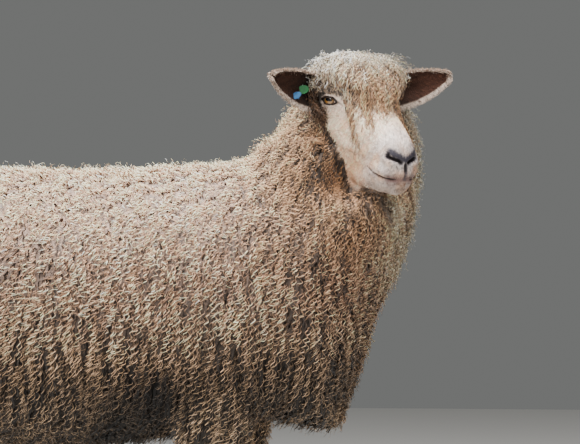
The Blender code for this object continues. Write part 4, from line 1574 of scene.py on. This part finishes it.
def ear_wool(ear, random, material):
    """Dark wool that hangs from the head's side over the root of the ear."""
    count = fewer(EAR_LOCKS)
    chosen, root, normal = ear.rooted(count, ear.inner * smooth(0.32, 0.14, ear.u), 0.001, random)
    way = normal * 0.55 + random.normal(0, 0.22, (count, 3)) - (0, 0, 0.55)
    length = random.uniform(*EAR_LOCK, count)
    trail, facing = sprouted(root, way, normal, length, 6, 0.35)
    kept = ~hides_eye(trail)
    crimp = even_crimp(EAR_LOCK_CRIMP, count, random)
    width = random.uniform(*EAR_LOCK_WIDTH, count)
    strips, crest = ribbons(trail, facing, length, width, crimp, 10, random)
    pale = (random.random(count) ** 2) * smooth(0.0, 0.04, to_head(root)[:, 2])
    # painted shade towards the root and a painted highlight on the crests
    along = 0.55 + 0.45 * np.linspace(0, 1, crest.shape[1]) + 0.25 * crest
    shade = random.uniform(0.45, 1.25, count)[:, None] * along
    colours = in_both_edges(mix(NECK_DARK, CROWN, pale)[:, None] * shade[:, :, None])[kept]
    chart = np.column_stack([ear.u[chosen], random.random(count)])[kept]
    sizes = (length[kept], width[kept])
    ear.pieces("wool", strips[kept], colours, chart, material, "fleece", ear.u[chosen][kept], sizes)


def ears(random, material, hair, wool):
    for side, hand in SIDES:
        ear = Ear(side, hand)
        ear.coloured()
        ear_fringe(ear, random, hair)
        ear_wool(ear, random, wool)
        finish_piece(f"ear_skin_{hand}", ear.mesh, material, (f"ear_{hand}",))


# ---------------------------------------------------------------- claws and tags


def small_nodes():
    """Claws, dewclaws and tags keep their CAD solids, with softened edges and their materials."""
    horn = claw_material()
    tags = (("tag_green", GREEN), ("tag_blue", BLUE))
    finishes = {name: tag_material(name, colour) for name, colour in tags}
    for name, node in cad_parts.items():
        if name.startswith(("claw_", "dewclaw_", "tag_")):
            tag = name in finishes
            node.data.materials.clear()
            node.data.materials.append(finishes.get(name, horn))
            weld = node.modifiers.new("weld", "WELD")
            weld.merge_threshold = NODE_WELD
            soften = node.modifiers.new("soften", "BEVEL")
            soften.width = TAG_EDGE if tag else CLAW_EDGE
            soften.segments = 3
            soften.limit_method = "ANGLE"
            soften.angle_limit = SHARP_EDGE


# ---------------------------------------------------------------- studio


def studio():
    """A plain pale floor, soft light from above and a dim even fill."""
    bpy.ops.mesh.primitive_plane_add(size=FLOOR_SIZE, location=(0, 0, 0))
    floor = bpy.context.object
    floor.name = "floor"
    floor.data.materials.append(Finish("floor", 0.9, Base_Color=(*FLOOR, 1)).made)
    for name, place, size, energy in LIGHTS:
        light = bpy.data.lights.new(name, "AREA")
        light.shape = "DISK"
        light.size = size
        light.energy = energy
        lamp = show(name, light)
        lamp.location = place
        lamp.rotation_euler = (LIT_PLACE - Vector(place)).to_track_quat("-Z", "Y").to_euler()
    world = bpy.data.worlds.new("studio")
    bpy.context.scene.world = world
    world.use_nodes = True
    backdrop = world.node_tree.nodes["Background"]
    backdrop.inputs["Color"].default_value = (*BACKDROP, 1)
    backdrop.inputs["Strength"].default_value = BACKDROP_STRENGTH


def add_camera():
    lens = bpy.data.cameras.new("camera")
    camera = show("camera", lens)
    lens.sensor_width = CAMERA_SENSOR
    lens.lens = CAMERA_LENS
    lens.clip_end = CAMERA_REACH
    back = Vector((math.sin(CAMERA_AZIMUTH), -math.cos(CAMERA_AZIMUTH), 0))
    camera.location = HEAD.translation + CAMERA_TARGET + back * CAMERA_DISTANCE
    camera.rotation_euler = (-back).to_track_quat("-Z", "Y").to_euler()
    bpy.context.scene.camera = camera


# ---------------------------------------------------------------- the ewe


def finished_skin(skin, material):
    """Colours the skin and makes a piece of it. Gives its resting places and its colours."""
    head = read(skin.attributes["rest"].data, "vector")
    skin.attributes.remove(skin.attributes["rest"])
    points, normals = places(skin), facings(skin)
    bare = short_head(points)
    coat = coat_colour(points, normals)
    # the skin under the wool is painted dark and greyed: painted shade deep between the locks
    wool = greyed(coat * under_shade(points, normals)[:, None], 0.6)
    colour = np.clip(layered(wool, (coat, short_leg(points)), (face_colour(head), bare)), 0, PALEST)
    paint(skin, colour)
    side = one_side(head)
    glossy = np.maximum(leather(side), near_line(side, MOUTH, 0.004)) * bare
    mark(skin, "hairy", 1 - glossy)
    skin.shade_smooth()
    skin.materials.clear()
    finish_piece("skin", skin, material, FLESH)
    return head, colour


def main():
    random = np.random.default_rng(SEED)
    coat, under = body_form()
    skin = united(united(under, shank_form()), face_form())
    skin_finish, ear_hair = skin_material(), hair_material("ear_hair")
    rest, colour = finished_skin(skin, skin_finish)
    ground = Ground(skin, coat_over(skin, coat))
    fleece(ground, random)
    short_hair(ground, rest, colour, random)
    eye_finish = eye_material()
    for side, hand in SIDES:
        eyeball(side, hand, eye_finish)
        lid_rim(side, hand, skin_finish)
    ears(random, skin_finish, ear_hair, wool_material("ear_wool", 0))
    small_nodes()
    studio()
    add_camera()


main()
